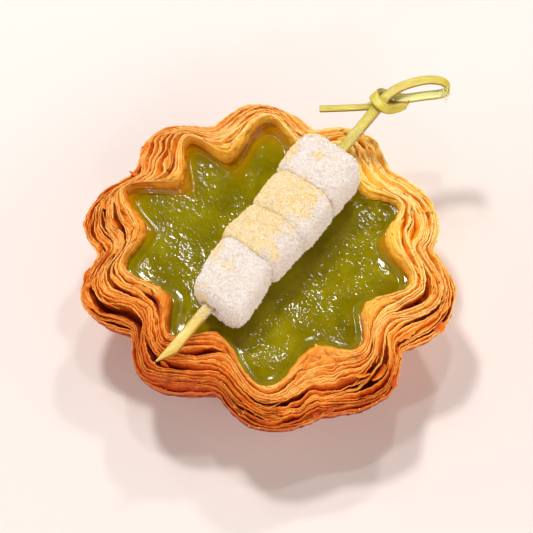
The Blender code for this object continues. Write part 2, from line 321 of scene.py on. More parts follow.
def makeGrainTree():
    # Grains strewn over a surface: named inputs set how many, how large and where they gather
    tree, given = newTree("strewnGrains", (
        ("Density", "Float", 1e6), ("Size", "Float", 0.0002), ("Spread", "Float", 0.5),
        ("Flatness", "Float", 0.7), ("Seed", "Int", 1), ("Where", "String", "flour"),
        ("Reverse", "Float", 0.0), ("Look", "Material", None)))
    gather = addNode(tree, "GeometryNodeInputNamedAttribute", {"Name": given["Where"]}, data_type="FLOAT")
    other = addNode(tree, "ShaderNodeMath", {0: given["Reverse"], 1: gather}, operation="SUBTRACT")
    share = addNode(tree, "ShaderNodeMath", {0: other}, operation="ABSOLUTE", use_clamp=True)
    amount = addNode(tree, "ShaderNodeMath", {0: share, 1: given["Density"]}, operation="MULTIPLY")
    points = addNode(tree, "GeometryNodeDistributePointsOnFaces", {
        "Mesh": given["Geometry"], "Density": amount, "Seed": given["Seed"]})
    grain = addNode(tree, "GeometryNodeMeshIcoSphere", {"Radius": given["Size"], "Subdivisions": 1})
    least = addNode(tree, "ShaderNodeMath", {0: 1.0, 1: given["Spread"]}, operation="SUBTRACT")
    most = addNode(tree, "ShaderNodeMath", {0: 1.0, 1: given["Spread"]}, operation="ADD")
    scale = addNode(tree, "FunctionNodeRandomValue", {
        2: least, 3: most, "Seed": given["Seed"]}, data_type="FLOAT").outputs[1]
    squash = addNode(tree, "ShaderNodeMath", {0: scale, 1: given["Flatness"]}, operation="MULTIPLY")
    sizes = addNode(tree, "ShaderNodeCombineXYZ", {"X": scale, "Y": squash, "Z": squash})
    turn = addNode(tree, "FunctionNodeRandomValue", {
        0: (0.0, 0.0, 0.0), 1: (6.28, 6.28, 6.28), "Seed": given["Seed"]}, data_type="FLOAT_VECTOR")
    placed = addNode(tree, "GeometryNodeInstanceOnPoints", {
        "Points": points, "Instance": grain, "Rotation": turn, "Scale": sizes})
    real = addNode(tree, "GeometryNodeRealizeInstances", {"Geometry": placed})
    dressed = addNode(tree, "GeometryNodeSetMaterial", {"Geometry": real, "Material": given["Look"]})
    addNode(tree, "NodeGroupOutput", {"Geometry": dressed})
    return tree


def makeDustMaterial(name, low, high):
    # Loose grains of dry powder, each a little lighter or darker than the next
    material, tree, shader = newMaterial(name)
    place = addNode(tree, "ShaderNodeTexCoord").outputs["Object"]
    speck = addNode(tree, "ShaderNodeTexNoise", {"Vector": place, "Scale": 2500.0, "Detail": 1.0})
    tone = addNode(tree, "ShaderNodeValToRGB", {"Fac": speck}, stops=((0.35, low), (0.65, high)))
    setInputs(tree, shader, {"Base Color": tone, "Roughness": 0.85, "Specular IOR Level": 0.25})
    return material


grainTree = makeGrainTree()


pastry = {
    "sheets": 17,               # layers that fan out over the lobes
    "rollSheets": 3,            # and the few that show as soft steps on the inner roll
    "stations": 1500,
    "rollAtLobe": 0.17,         # share of the band that the smooth inner roll takes
    "rollAtFold": 0.3,
    "uneven": 1.4,              # how much the layers differ in width
    "lipRise": 0.3,
    "thickness": 0.3,
    "outerThickness": 1.7,      # the outermost layer is this much thicker
    # torn edge: height and number round the tart of the long waves, the short ones, the fray and the bites
    "tears": ((0.2, 46), (0.06, 230), (0.13, 700), (0.6, 150)),
    "faceSteps": (1.3, 1.0, 0.72, 0.42, 0.15),      # down a layer's face, as shares of the gap's depth
    "outerReach": 0.6,          # the outermost layer's own face: how far out and down it runs
    "outerDepth": 2.6,
    "widest": 5.0,              # a layer is at most this many times as wide as usual
    "frontNarrow": (3.1, 8.5, 3.0),         # less by this at the front left: amount, place, span in turns
    "bunching": 1.9,            # how close the layers lie at the back
    "tiltInside": 0,            # degrees that the layers lean out
    "tiltOutside": 26,
    "lumps": 0.24,              # unevenness of their faces, 1.5 mm and 0.5 mm across
    "grit": 0.09,
    "creaseLeast": 0.22,        # a gap is this deep, and deeper where it is wide
    "creaseByWidth": 0.7,
    "creaseMost": 1.9,
    # up from the custard to the crest: share of the band, drop below the crest, shade
    "shoulder": (
        (-0.012, 4.2, 0.6), (-0.012, 3.3, 0.5), (-0.005, 2.5, 0.42), (0.005, 1.85, 0.36),
        (0.02, 1.3, 0.3), (0.04, 0.85, 0.26), (0.065, 0.5, 0.22), (0.095, 0.22, 0.2)),
    # deep slits: place round the tart, across the band, widening, span in turns
    "slits": (
        (13.85, 0.4, 3.6, 0.4), (13.72, 0.72, 1.8, 0.3), (13.9, 0.92, 1.6, 0.45), (12.2, 0.7, 2.4, 0.4),
        (11.9, 0.6, 1.2, 0.35), (8.9, 0.3, 1.2, 0.3), (4.56, 0.34, 2.8, 0.35), (4.3, 0.63, 2.4, 0.3),
        (4.2, 0.8, 1.4, 0.3), (6.5, 0.72, 5.0, 0.55), (6.2, 0.34, 1.6, 0.3), (6.75, 0.24, 1.4, 0.22),
        (6.7, 0.92, 1.6, 0.25), (2.2, 0.5, 1.4, 0.4), (0.1, 0.45, 1.3, 0.4), (18.1, 0.55, 1.6, 0.4),
        (16.0, 0.65, 1.4, 0.4), (10.1, 0.55, 1.6, 0.45), (9.8, 0.82, 1.2, 0.35), (7.9, 0.6, 1.0, 0.3)),
    # where the layers have baked into one mass: place, across the band, span in turns, width across
    "fused": ((8.3, 0.88, 0.5, 0.16), (12.68, 0.82, 0.22, 0.2), (5.8, 0.95, 0.4, 0.12),
              (4.6, 0.92, 0.3, 0.12), (10.9, 0.4, 0.2, 0.2)),
    "knobs": (0.38, 0.18),      # height of the roll's lumps, 1.8 mm and 0.7 mm across
    # small holes in the inner roll: place, across the band, size and depth
    "pits": ((0.41, 0.07, 0.8, 1.3), (16.2, 0.03, 0.6, 1.0), (16.3, 0.04, 0.7, 1.2), (16.4, 0.04, 0.7, 1.3),
             (16.5, 0.05, 0.7, 1.3), (16.6, 0.05, 0.6, 1.0), (8.0, 0.1, 0.6, 0.8), (4.7, 0.12, 0.7, 0.8)),
    # how brown each lobe and fold is baked, from the lobe at the back anticlockwise
    "bake": (0.45, 0.36, 0.68, 0.6, 0.8, 0.62, 0.72, 0.9, 1.25, 1.0,
             0.78, 0.68, 0.88, 0.4, 0.42, 0.12, -0.2, -0.12, -0.04, 0.12),
    "frontBrowning": (0.62, 10.0, 3.8),     # more on the outer layers: amount, place and span in turns
    "turnLength": 17.5,         # from one lobe or fold to the next along the crust, for the fibres' pattern
    "seed": 5,
}


def makePastryMaterial():
    # Baked puff pastry: butter-glossed layers, golden on their thin edges and darker orange down between
    # them, where the darkening with depth is partly the bake and partly painted shade
    material, tree, shader = newMaterial("bakedPuffPastry")
    place = addNode(tree, "ShaderNodeTexCoord").outputs["Object"]
    depth = addNode(tree, "ShaderNodeAttribute", attribute_name="depthShade").outputs["Fac"]
    bake = addNode(tree, "ShaderNodeAttribute", attribute_name="bake").outputs["Fac"]
    along = addNode(tree, "ShaderNodeUVMap", uv_map="alongAndDeep")
    # patches about 3 mm across where the crust has browned more
    patches = addNode(tree, "ShaderNodeTexNoise", {
        "Vector": place, "Scale": 320.0, "Detail": 4.0, "Roughness": 0.6})
    # fibres that run along the layers, 0.3 mm apart and 1 mm long
    stretched = addNode(tree, "ShaderNodeMapping", {"Vector": along, "Scale": (0.9, 3.6, 1.0)})
    fibres = addNode(tree, "ShaderNodeTexNoise", {
        "Vector": stretched, "Scale": 1.0, "Detail": 5.0, "Roughness": 0.65})
    shift = addNode(tree, "ShaderNodeMath", {0: patches, 1: 1.3, 2: -0.65}, operation="MULTIPLY_ADD")
    browned = addNode(tree, "ShaderNodeMath", {0: bake, 1: shift}, operation="ADD")
    grainy = addNode(tree, "ShaderNodeMath", {0: fibres, 1: 0.8, 2: -0.4}, operation="MULTIPLY_ADD")
    # the depth value darkens the crust down into each gap: partly the bake, partly painted shade, streaked by
    # the fibres
    depthShade = addNode(tree, "ShaderNodeMath", {0: depth, 1: grainy}, operation="ADD", use_clamp=True)
    pale = addNode(tree, "ShaderNodeValToRGB", {"Fac": depthShade}, stops=(
        (0.0, "#FFE298"), (0.1, "#FFCC54"), (0.45, "#FFB430"), (1.0, "#F0820A")))
    dark = addNode(tree, "ShaderNodeValToRGB", {"Fac": depthShade}, stops=(
        (0.0, "#F6A440"), (0.1, "#E8781A"), (0.45, "#D25406"), (1.0, "#9C2E00")))
    colour = addNode(tree, "ShaderNodeMix", {"Factor": browned, 6: pale, 7: dark}, data_type="RGBA")
    # the outer front is baked past orange to a red-brown
    burnt = addNode(tree, "ShaderNodeMapRange", {
        "Value": browned, "From Min": 0.95, "From Max": 1.6, "To Min": 0.0, "To Max": 0.7})
    crust = addNode(tree, "ShaderNodeMix", {
        "Factor": burnt, 6: colour.outputs[2], 7: linearColour("#B4562A")},
        data_type="RGBA", blend_type="MULTIPLY")
    gloss = addNode(tree, "ShaderNodeMapRange", {
        "Value": patches, "From Min": 0.35, "From Max": 0.65, "To Min": 0.28, "To Max": 0.52})
    fine = addNode(tree, "ShaderNodeTexNoise", {
        "Vector": place, "Scale": 2600.0, "Detail": 3.0, "Roughness": 0.6})
    # crumbs baked into the crust, about 0.5 mm across
    crumbly = addNode(tree, "ShaderNodeTexVoronoi", {"Vector": place, "Scale": 1900.0})
    rough = addNode(tree, "ShaderNodeMath", {0: crumbly, 1: -0.9, 2: fine}, operation="MULTIPLY_ADD")
    relief = addNode(tree, "ShaderNodeMath", {0: fibres, 1: 1.4, 2: rough}, operation="MULTIPLY_ADD")
    bump = addNode(tree, "ShaderNodeBump", {"Height": relief, "Distance": 0.0001, "Strength": 0.85})
    setInputs(tree, shader, {
        "Base Color": crust.outputs[2], "Roughness": gloss, "Normal": bump,
        "Subsurface Weight": 0.3, "Subsurface Radius": (0.7, 0.7, 0.6), "Subsurface Scale": 0.0006,
        "Specular IOR Level": 0.2, "IOR": 1.46})
    return material


def bakeAt(phase, across, draw):
    # How brown the crust is at a place on the band: 0 is golden, 1 deep orange, more is red-brown
    amount, place, span = pastry["frontBrowning"]
    level = between(np.array(pastry["bake"]), phase)
    front = amount * np.clip((across - 0.6) / 0.4, 0, None) * np.exp(-((phase - place) / span) ** 2)
    return level + 0.4 * (across - 0.45) + front + 0.12 * wobble(draw, phase, 60)


def sheetPlaces(phase):
    # From the roll outwards: where each lip stands across the band, and how wide and deep its inner gap is
    draw = np.random.default_rng(pastry["seed"])
    roll = pastry["rollAtFold"] + (pastry["rollAtLobe"] - pastry["rollAtFold"]) * lobeShare(phase)
    roll = roll * (1 + 0.15 * wobble(draw, phase, 24))
    # at the back two layers of three are bunched against the third
    behind = np.clip(0.5 + 0.8 * outward(phase)[:, 1], 0, 1)
    steps = pastry["rollSheets"]
    lips = [roll * (0.42 + 0.52 * step / steps + 0.13 * wobble(draw, phase, 16)) for step in range(steps)]
    widths, openings = [], [0 * phase] * steps
    amount, middle, reach = pastry["frontNarrow"]
    for sheet in range(pastry["sheets"]):
        width = np.exp(pastry["uneven"] * wobble(draw, phase, 26) + 0.5 * wobble(draw, phase, 76))
        width = np.minimum(width, pastry["widest"] - amount * np.exp(-((phase - middle) / reach) ** 2))
        if sheet % 3:
            width = width * np.exp(-pastry["bunching"] * behind)
        opening = 0 * phase
        for place, across, widen, span in pastry["slits"]:
            if sheet == round((across - 0.22) / 0.78 * pastry["sheets"]):
                near = np.exp(-(turnDistance(phase, place) / span) ** 2)
                width = width + 1.6 * widen * near
                opening = opening + widen * near
        widths.append(width)
        openings.append(np.minimum(opening, 3.0))
    widths = np.array(widths)
    fan = roll + (1 - roll) * np.cumsum(widths, 0) / widths.sum(0)
    lips = np.concatenate([np.array(lips), fan])
    band = np.linalg.norm(rimEdge(phase) - custardEdge(phase), axis=1)
    gaps = np.diff(np.concatenate([0.05 + 0 * lips[:1], lips]), axis=0) * band
    depths = []
    for sheet, gap in enumerate(gaps):
        depth = np.minimum(pastry["creaseLeast"] + pastry["creaseByWidth"] * gap, pastry["creaseMost"])
        depth = depth * (1 + 0.45 * wobble(draw, phase, 44)) * (0.75 + 0.35 * lobeShare(phase))
        for place, across, span, width in pastry["fused"]:
            near = (turnDistance(phase, place) / span) ** 2 + ((lips[sheet] - across) / width) ** 2
            depth = depth * (1 - 0.8 * np.exp(-near))
        depths.append(depth * (0.5 if sheet < steps else 1) + 0.95 * openings[sheet])
    return roll, lips, gaps, np.array(openings), np.array(depths)


def gapDepth(phase, across, places):
    # How far the solid crust lies under the lips: just beneath the sheets, and at the foot of each slit
    lips, depths = places[1], places[4]
    total, weights = 0 * phase, 0 * phase
    for sheet in range(pastry["rollSheets"], len(lips)):
        middle = (lips[sheet] + lips[sheet - 1]) / 2
        weight = np.exp(-((across - middle) / 0.04) ** 2) + 1e-9
        total = total + weight * (0.5 + depths[sheet])
        weights = weights + weight
    return total / weights


def leanAt(phase, across):
    # The way that a layer stands up at a place, and the way across its thickness
    tilt = np.radians(pastry["tiltInside"] + (pastry["tiltOutside"] - pastry["tiltInside"]) * across)
    out = outward(phase)
    up = np.array([0, 0, 1.0])
    along = out * np.sin(tilt)[..., None] + up * np.cos(tilt)[..., None]
    aside = out * np.cos(tilt)[..., None] - up * np.sin(tilt)[..., None]
    return along, aside


def crustUv(grid, phase, start=0.0):
    # Real millimetres along and down the crust, for the pattern of fibres
    length = np.repeat((phase * pastry["turnLength"] + start)[:, None], grid.shape[1], 1)
    travelled = np.linalg.norm(np.diff(grid, axis=1, prepend=grid[:, :1]), axis=2).cumsum(1)
    return np.stack([length, travelled], -1)


def makeSheets(material):
    # Each layer is a thin lip whose faces run down into the gaps beside it
    phase = np.arange(pastry["stations"]) / pastry["stations"] * turns
    lips, gaps, openings, depths = sheetPlaces(phase)[1:]
    draw = np.random.default_rng(pastry["seed"] + 1)
    lobe = lobeShare(phase)
    out = outward(phase)
    steps = pastry["faceSteps"]
    wave, ripple, fray, bite = pastry["tears"]
    count = len(lips)
    pieces = []
    for sheet in range(count):
        last = sheet == count - 1
        onRoll = sheet < pastry["rollSheets"]
        across = lips[sheet]
        tear = wave[0] * wobble(draw, phase, wave[1]) + ripple[0] * wobble(draw, phase, ripple[1])
        tear += fray[0] * wobble(draw, phase, fray[1], False)
        tear -= bite[0] * np.clip(wobble(draw, phase, bite[1]) - 0.62, 0, None) / 0.38 * lobe
        along, aside = leanAt(phase, across)
        if onRoll:
            rise = 0.2 + 0.22 * wobble(draw, phase, 30) + 0.06 * wobble(draw, phase, 300)
        else:
            rise = pastry["lipRise"] * draw.uniform(0.4, 1.3) + tear * (0.35 + 0.65 * lobe)
        sway = 0.1 * wobble(draw, phase, 130) + 0.05 * wobble(draw, phase, 420)
        if last:
            sway += 0.42 * wobble(draw, phase, 70) + 0.16 * wobble(draw, phase, 210)
        lip = rimTop(phase, across) + along * rise[:, None] + out * sway[:, None]
        thickness = pastry["thickness"] * (pastry["outerThickness"] if last else draw.uniform(0.6, 1.25))
        thickness = thickness * (1 + 0.3 * wobble(draw, phase, 90))
        # the faces that are seen are broad: the outer ones at the front, the inner ones at the back
        lean = np.clip(0.5 - 0.55 * out[:, 1] + 0.4 * wobble(draw, phase, 34), 0.04, 0.96)
        inner = gaps[sheet] * (1 - lean) * np.clip(1 - openings[sheet] / 1.2, 0.05, 1)
        if last:
            outer, low = pastry["outerReach"] * lean, pastry["outerDepth"] + 0 * phase
        else:
            outer = gaps[sheet + 1] * np.clip(1 - openings[sheet + 1] / 1.2, 0.05, 1) * lean
            low = depths[sheet + 1]
        rows, depthShade = [], []

        def addRow(down, aways, layer):
            rows.append(lip - along * down[:, None] + aside * aways[:, None])
            depthShade.append(np.clip(layer, 0, 1))

        # down each face the colour darkens with depth and most at the foot of the crease, as painted shade,
        # while the lip stays pale
        half = thickness / 2
        for step in steps:
            down = half + step * depths[sheet]
            addRow(down, -inner * min(step, 1) ** 1.4, down / 1.9 + 0.25 * step ** 3)
        for down, aways in ((0.5, 0.0), (0.1, 0.25), (0.1, 0.75), (0.5, 1.0)):
            addRow(down * thickness, aways * thickness, 0.0 * phase)
        for step in reversed(steps):
            down = half + step * low
            addRow(down, thickness + outer * min(step, 1) ** 1.4, down / 1.9 + 0.25 * step ** 3)
        grid = np.stack(rows, 1)
        rough = pastry["lumps"] * hills(grid, 1.5) + pastry["grit"] * hills(grid, 0.5)
        grid += aside[:, None] * rough[..., None]
        bake = bakeAt(phase, across, draw) + draw.uniform(-0.14, 0.14)
        spread = np.repeat(bake[:, None], grid.shape[1], 1)
        pieces.append(gridPiece(f"pastrySheet{sheet + 1}", grid, material, {
            "depthShade": np.stack(depthShade, 1), "bake": spread}, crustUv(grid, phase, 40 * sheet)))
    return pieces


wall = {
    # down the wall: share of the way from the rim's outline to the foot's, and height
    "path": (
        (0.0, 20.6), (0.02, 19.4), (0.07, 17.6), (0.14, 15.8), (0.22, 13.8), (0.3, 12.0), (0.38, 10.4),
        (0.46, 8.9), (0.54, 7.4), (0.62, 6.0), (0.7, 4.8), (0.78, 3.4), (0.86, 2.2), (0.93, 1.2),
        (0.98, 0.35), (1.0, 0.0)),
    "stations": 880,
    "rows": 92,
    "lines": 0.45,              # the edges of the layers that run round it
    "lumps": 0.5,
    "behind": 2.0,              # thickness of the skin that carries them
}


def footEdge(phase, outer):
    # The foot's outline: a circle that still shows a little of the rim's flutes
    flutes = (outer - circleAt(phase, tart["rimRadius"])) * tart["restFlute"]
    return circleAt(phase, tart["restRadius"]) + flutes


def makeCore(material):
    # The solid part of the case: cavity, smooth inner roll, the floor between the sheets, outer wall and foot
    stations = pastry["stations"] // 2
    phase = np.arange(stations) / stations * turns
    places = sheetPlaces(phase)
    roll = places[0]
    draw = np.random.default_rng(pastry["seed"] + 2)
    rows, depthShade, bake = [], [], []

    # each row's second value darkens the crust with depth, as painted shade: most down in the gaps between
    # the layers
    def addRow(point, layer, across):
        rows.append(point)
        depthShade.append(layer + 0 * phase)
        bake.append(bakeAt(phase, across, np.random.default_rng(3)))

    for pull, height in ((1.0, 5.0), (0.35, 18.0), (0.0, 22.6)):
        point = custardEdge(phase) * (1 - pull) + circleAt(phase, tart["cavityRadius"]) * pull
        point[:, 2] = height
        addRow(point, 0.5, 0.0)
    inner, outer = custardEdge(phase), rimEdge(phase)
    crest = rimTop(phase, 0 * phase)[:, 2]
    for share, drop, layer in pastry["shoulder"]:
        point = inner + (outer - inner) * share
        point[:, 2] = crest - drop + 0.12 * wobble(draw, phase, 120)
        addRow(point, layer, 0.0)
    for part in np.linspace(0.0, 1.0, 9):
        across = 0.125 + (roll - 0.125) * part
        along = leanAt(phase, across)[0]
        swell = 0.16 * wobble(draw, phase, 90) + 0.1 * wobble(draw, phase, 220) - 0.4 * min(1.0, 2.5 * part)
        addRow(rimTop(phase, across) + along * swell[:, None], 0.2 + 0.5 * min(1.0, 2.0 * part), 0.1)
    for down, layer in ((0.35, 0.5), (0.9, 0.8), (1.6, 0.95)):
        across = roll + 0.012
        low = np.minimum(down, gapDepth(phase, across, places))
        addRow(rimTop(phase, across) - leanAt(phase, across)[0] * low[:, None], layer, 0.2)
    for part in np.linspace(0.03, 0.97, 44):
        across = roll + (1 - roll) * part
        low = gapDepth(phase, across, places)
        addRow(rimTop(phase, across) - leanAt(phase, across)[0] * low[:, None], 0.85, across)
    foot = footEdge(phase, outer)
    for pull, height in wall["path"]:
        point = outer * (1 - pull) + foot * pull
        way = point / np.linalg.norm(point, axis=1, keepdims=True)
        point = point - way * min(1.0, height / 3)
        point[:, 2] = height
        addRow(point, 0.7, 1.2)
    for reach in (0.8, 0.4):
        addRow(foot * reach * np.array([1, 1, 0]), 0.45, 1.3)
    grid = np.stack(rows, 1)
    # the roll and the shoulder over the custard are knobbly
    knobs = grid[:, 5:20]
    large, small = pastry["knobs"]
    knobs[..., 2] += large * hills(knobs, 1.8) + small * hills(knobs, 0.7)
    push = np.clip(0.6 * hills(knobs, 1.7) + 0.3 * hills(knobs, 0.7) - 0.1, None, 0.12)
    knobs += outward(phase)[:, None] * push[..., None]
    depthShade = np.stack(depthShade, 1)
    for place, across, size, depth in pastry["pits"]:
        centre = rimTop(np.array([place]), across)[0]
        near = np.exp(-(np.linalg.norm(grid - centre, axis=2) / size) ** 2)
        grid[..., 2] -= depth * near
        grid += outward(phase)[:, None] * (0.35 * depth * near)[..., None]
        # each hole is painted darker inside as shade
        depthShade = np.maximum(depthShade, np.minimum(1.2 * near, 1))
    gridPiece("pastryCore", grid, material, {"depthShade": depthShade, "bake": np.stack(bake, 1)},
              crustUv(grid, phase), ["pastry_case"], poles=True)


def makeWall(material):
    # The outside of the case: layers lie along it, and its flutes fade towards the flat foot
    phase = np.arange(wall["stations"]) / wall["stations"] * turns
    outer = rimEdge(phase)
    foot = footEdge(phase, outer)
    way = outer / np.linalg.norm(outer, axis=1, keepdims=True)
    steps = np.linspace(0, 1, wall["rows"])
    places = np.linspace(0, 1, len(wall["path"]))
    pulls = np.interp(steps, places, [pull for pull, height in wall["path"]])
    heights = np.interp(steps, places, [height for pull, height in wall["path"]])
    rows, depthShade, bake = [], [], []
    for step, pull, height in zip(steps, pulls, heights):
        point = outer * (1 - pull) + foot * pull
        point[:, 2] = height + 0.35
        fade = min(1.0, height / 3)
        # long thin hollows between the layers, seven times as long as they are high
        tilt = point * (0.17, 0.17, 0)
        tilt[:, 2] = height * 1.2 + 0.8 * wobble(np.random.default_rng(8), phase, 20)
        line = np.abs(hills(tilt, 1.0))
        bulge = hills(point, 5.0)
        fine = 0.12 * hills(point, 0.9)
        shift = wall["lines"] * np.minimum(line * 3, 1) + wall["lumps"] * bulge + fine - 0.4
        rows.append(point + way * (shift * fade)[:, None])
        # the colour darkens in the hollows between the layers, as painted shade
        depthShade.append(np.clip(0.75 - 2.2 * line, 0.12, 1))
        bake.append(bakeAt(phase, 1.0, np.random.default_rng(3)) + 0.25 * step - 0.12 + 0.4 * bulge)
    for row in (rows[-1], rows[wall["rows"] // 2], rows[0]):
        rows.append(row - way * wall["behind"])
        depthShade.append(0.8 + 0 * phase)
        bake.append(1.0 + 0 * phase)
    grid = np.stack(rows, 1)
    grid[..., 2] = np.maximum(grid[..., 2], 0.0)
    gridPiece("pastryWall", grid, material,
              {"depthShade": np.stack(depthShade, 1), "bake": np.stack(bake, 1)}, crustUv(grid, phase))


skins = {
    "seed": 47,
    "thickness": 0.16,
    "stations": 44,
    "steps": 9,
    # place round the tart, across the band, half length in turns, reach as a share of the band, and
    # lift of the free edge
    "pieces": (
        (11.05, 0.22, 0.26, -0.16, 0.5), (10.85, 0.3, 0.16, -0.13, 0.6), (11.25, 0.36, 0.2, -0.14, 0.4),
        (10.6, 0.36, 0.16, -0.1, 0.5), (12.8, 0.22, 0.3, -0.14, 0.2), (12.5, 0.38, 0.2, -0.1, 0.3),
        (9.35, 0.22, 0.25, -0.14, 0.3), (9.1, 0.34, 0.2, -0.1, 0.4), (13.2, 0.26, 0.3, -0.14, 0.2),
        (15.2, 0.26, 0.35, -0.14, 0.2), (17.1, 0.26, 0.35, -0.14, 0.2), (7.1, 0.26, 0.3, -0.14, 0.3),
        (6.6, 0.28, 0.2, -0.1, 0.4), (5.1, 0.26, 0.3, -0.14, 0.2), (4.8, 0.4, 0.25, -0.12, 0.4),
        (3.1, 0.26, 0.3, -0.14, 0.2), (2.6, 0.4, 0.25, -0.1, 0.4), (1.1, 0.26, 0.3, -0.14, 0.2),
        (0.7, 0.35, 0.25, -0.12, 0.4), (18.9, 0.26, 0.35, -0.14, 0.2), (13.2, 0.8, 0.2, 0.1, 0.2),
        (8.4, 0.85, 0.3, 0.08, 0.2), (6.0, 0.85, 0.3, 0.1, 0.3), (2.2, 0.88, 0.3, 0.08, 0.2)),
}


def makeSkins(material):
    # Thin torn skins of dough that lie on the crust and lift at their ragged free edge
    draw = np.random.default_rng(skins["seed"])
    points, faces, depthShade, bake, uv = [], [], [], [], []
    stations, steps = skins["stations"], np.linspace(0, 1, skins["steps"])
    run = np.linspace(-1, 1, stations)
    for place, across, span, reach, lift in skins["pieces"]:
        ragged = np.interp(run, np.linspace(-1, 1, 9), draw.uniform(-0.35, 0.25, 9))
        ragged = ragged + draw.uniform(-0.05, 0.05, stations)
        rounded = (1 - np.abs(run) ** draw.uniform(1.6, 3)) ** 0.7
        outline = np.clip(rounded * (1 + ragged), 0.01, None)
        phase = place + run * span
        waves = 0.18 * wobble(draw, phase, 120)
        faces += stripFaces(len(points), 2 * len(steps), stations)
        for side in (1, -1):
            for step in steps[::side]:
                here = across + reach * outline * step
                height = 0.25 + waves + lift * step ** 2 * outline - 0.5 * (1 - step) ** 3
                half = side * skins["thickness"] / 2 * (1 - 0.7 * step ** 6)
                points.extend(rimTop(phase, here) + leanAt(phase, here)[0] * (height + half)[:, None])
                # a skin is painted darker towards where it lies on the crust, as shade
                depthShade.append(0.1 + 0.2 * (1 - step) + 0 * run)
                bake.append(bakeAt(phase, here, draw) + 0.02)
                uv.append(np.stack([phase * pastry["turnLength"], 3 * step + 0 * run], 1))
    addPiece("pastrySkins", np.array(points), faces, material,
             {"depthShade": np.concatenate(depthShade), "bake": np.concatenate(bake)}, np.vstack(uv))


flakes = {
    "count": 70,
    "seed": 31,
    "thickness": 0.2,
    "stations": 26,
    # the ones that show most: place round the tart, across the band, half length in turns, reach, and
    # lean in degrees
    "seen": (
        (12.83, 0.93, 0.07, 1.2, 70), (11.15, 0.97, 0.08, 1.1, 95), (10.8, 0.98, 0.07, 0.9, 95),
        (4.35, 0.6, 0.14, 1.4, -30), (4.55, 0.5, 0.12, 1.3, 30), (4.2, 0.7, 0.13, 1.5, -20),
        (4.1, 0.5, 0.1, 1.3, 20), (12.37, 0.98, 0.08, 1.6, 85), (13.68, 0.98, 0.08, 1.6, 85),
        (3.05, 0.95, 0.05, 1.8, 60)),
    # round one scrap's section: share of its length, share of half its thickness
    "section": ((-0.9, 0.9), (0.0, 1.0), (0.4, 1.0), (0.75, 0.8), (0.94, 0.5), (1.0, 0.15), (0.94, -0.3),
                (0.7, -0.7), (0.3, -0.9), (0.0, -1.0), (-0.9, -0.9)),
}


def makeFlakes(material):
    # Torn scraps of layer: some stand between the layers, some lie over the roll or the outer wall
    draw = np.random.default_rng(flakes["seed"])
    specs = list(flakes["seen"])
    for _ in range(flakes["count"]):
        place = 2 * draw.integers(0, turns // 2) + draw.normal(0, 0.4)
        specs.append((place, draw.uniform(0.2, 1.0), draw.uniform(0.05, 0.2), draw.uniform(0.5, 1.2),
                      draw.uniform(-25, 45)))
    points, faces, depthShade, bake = [], [], [], []
    stations, section = flakes["stations"], flakes["section"]
    run = np.linspace(-1, 1, stations)
    for place, across, span, reach, lean in specs:
        phase = place + run * span
        along, aside = leanAt(phase, across)
        turn = np.radians(lean + 14 * np.sin(run * 2 + draw.uniform(0, 6)))[:, None]
        tip = along * np.cos(turn) + aside * np.sin(turn)
        side = aside * np.cos(turn) - along * np.sin(turn)
        ragged = np.interp(run, np.linspace(-1, 1, 14), draw.uniform(-0.22, 0.12, 14))
        length = reach * np.clip((1 - np.abs(run) ** 2) ** 0.7 + ragged * (1 - run ** 2), 0.02, None)
        drift = across + 0.04 * draw.uniform(-1, 1) * run
        root = rimTop(phase, drift) + along * (0.45 if abs(lean) < 60 else 0.35)
        curve = draw.uniform(-0.15, 0.35)
        faces += stripFaces(len(points) * stations, len(section), stations)
        for share, half in section:
            lift = np.where(share > 0, share * length, share)[:, None]
            bow = (curve * (share * length) ** 2)[:, None] if share > 0 else 0
            points.append(root + tip * lift + side * (half * flakes["thickness"] / 2 + bow))
            # a scrap is painted darker towards its root among the layers, as shade
            depthShade.append(np.clip(0.35 - 0.35 * share + 0 * run, 0, 1))
            bake.append(bakeAt(phase, across, draw) + draw.uniform(-0.02, 0.02))
    uv = np.vstack([np.stack([np.linspace(0, 8, stations) + 3 * row, np.full(stations, 0.3 * row)], 1)
                    for row in range(len(points))])
    addPiece("pastryFlakes", np.vstack(points), faces, material,
             {"depthShade": np.concatenate(depthShade), "bake": np.concatenate(bake)}, uv)


crumbs = {
    "perSquareMetre": 1.3e5,
    "radius": 0.00026,          # metres
    "seed": 12,
    "colours": ("#C87A2C", "#EFC070"),
}


def makeCrumbs(pieces):
    # Small crumbs of crust that cling to the torn edges
    growPiece("pastryCrumbs", joinMeshes("tornEdges", pieces), grainTree, {
        "Density": crumbs["perSquareMetre"], "Size": crumbs["radius"], "Spread": 0.6, "Flatness": 0.6,
        "Seed": crumbs["seed"], "Where": "depthShade", "Reverse": 1.0,
        "Look": makeDustMaterial("bakedCrumbs", *crumbs["colours"])})


pastryMaterial = makePastryMaterial()
makeCore(pastryMaterial)
makeCrumbs(makeSheets(pastryMaterial))
makeWall(pastryMaterial)
makeSkins(pastryMaterial)
makeFlakes(pastryMaterial)
print("pastry case done")


custard = {
    "stations": 760,
    "rings": 110,
    "middle": 24.2,
    "climb": 0.9,               # how far it rises against the crust
    # where the film hangs higher on the crust: place, span in turns, extra rise
    "films": ((2.7, 0.7, 1.3), (0.1, 0.5, 1.4), (4.0, 0.4, 0.8), (14.8, 0.4, 0.9)),
    # where the film has browned: place, span in turns, width
    "ambers": ((2.6, 1.6, 3.2), (4.0, 0.8, 2.0), (0.1, 0.8, 4.5), (14.9, 0.6, 1.6)),
    # where it is wrinkled as far as the crust: place, span in turns
    "wrinkles": ((3.35, 0.6), (19.9, 0.6), (1.2, 0.5), (16.6, 0.6), (15.2, 0.5)),
    "band": 0.4,                # height of the smooth swollen edge
    "bandWidth": 2.0,
    "bandPlace": 1.3,           # from the crust to the middle of the swollen edge
    "dip": 0.15,                # depth of the furrow inside it
    "dipPlace": 2.9,
    "calmEnd": 3.6,             # the wrinkles begin this far from the crust
    "ripples": 0.13,            # they run down the film from the crust
    "swell": 0.34,              # broad hollows and hills
    "pucker": 0.065,            # the fine wrinkles of its skin
}


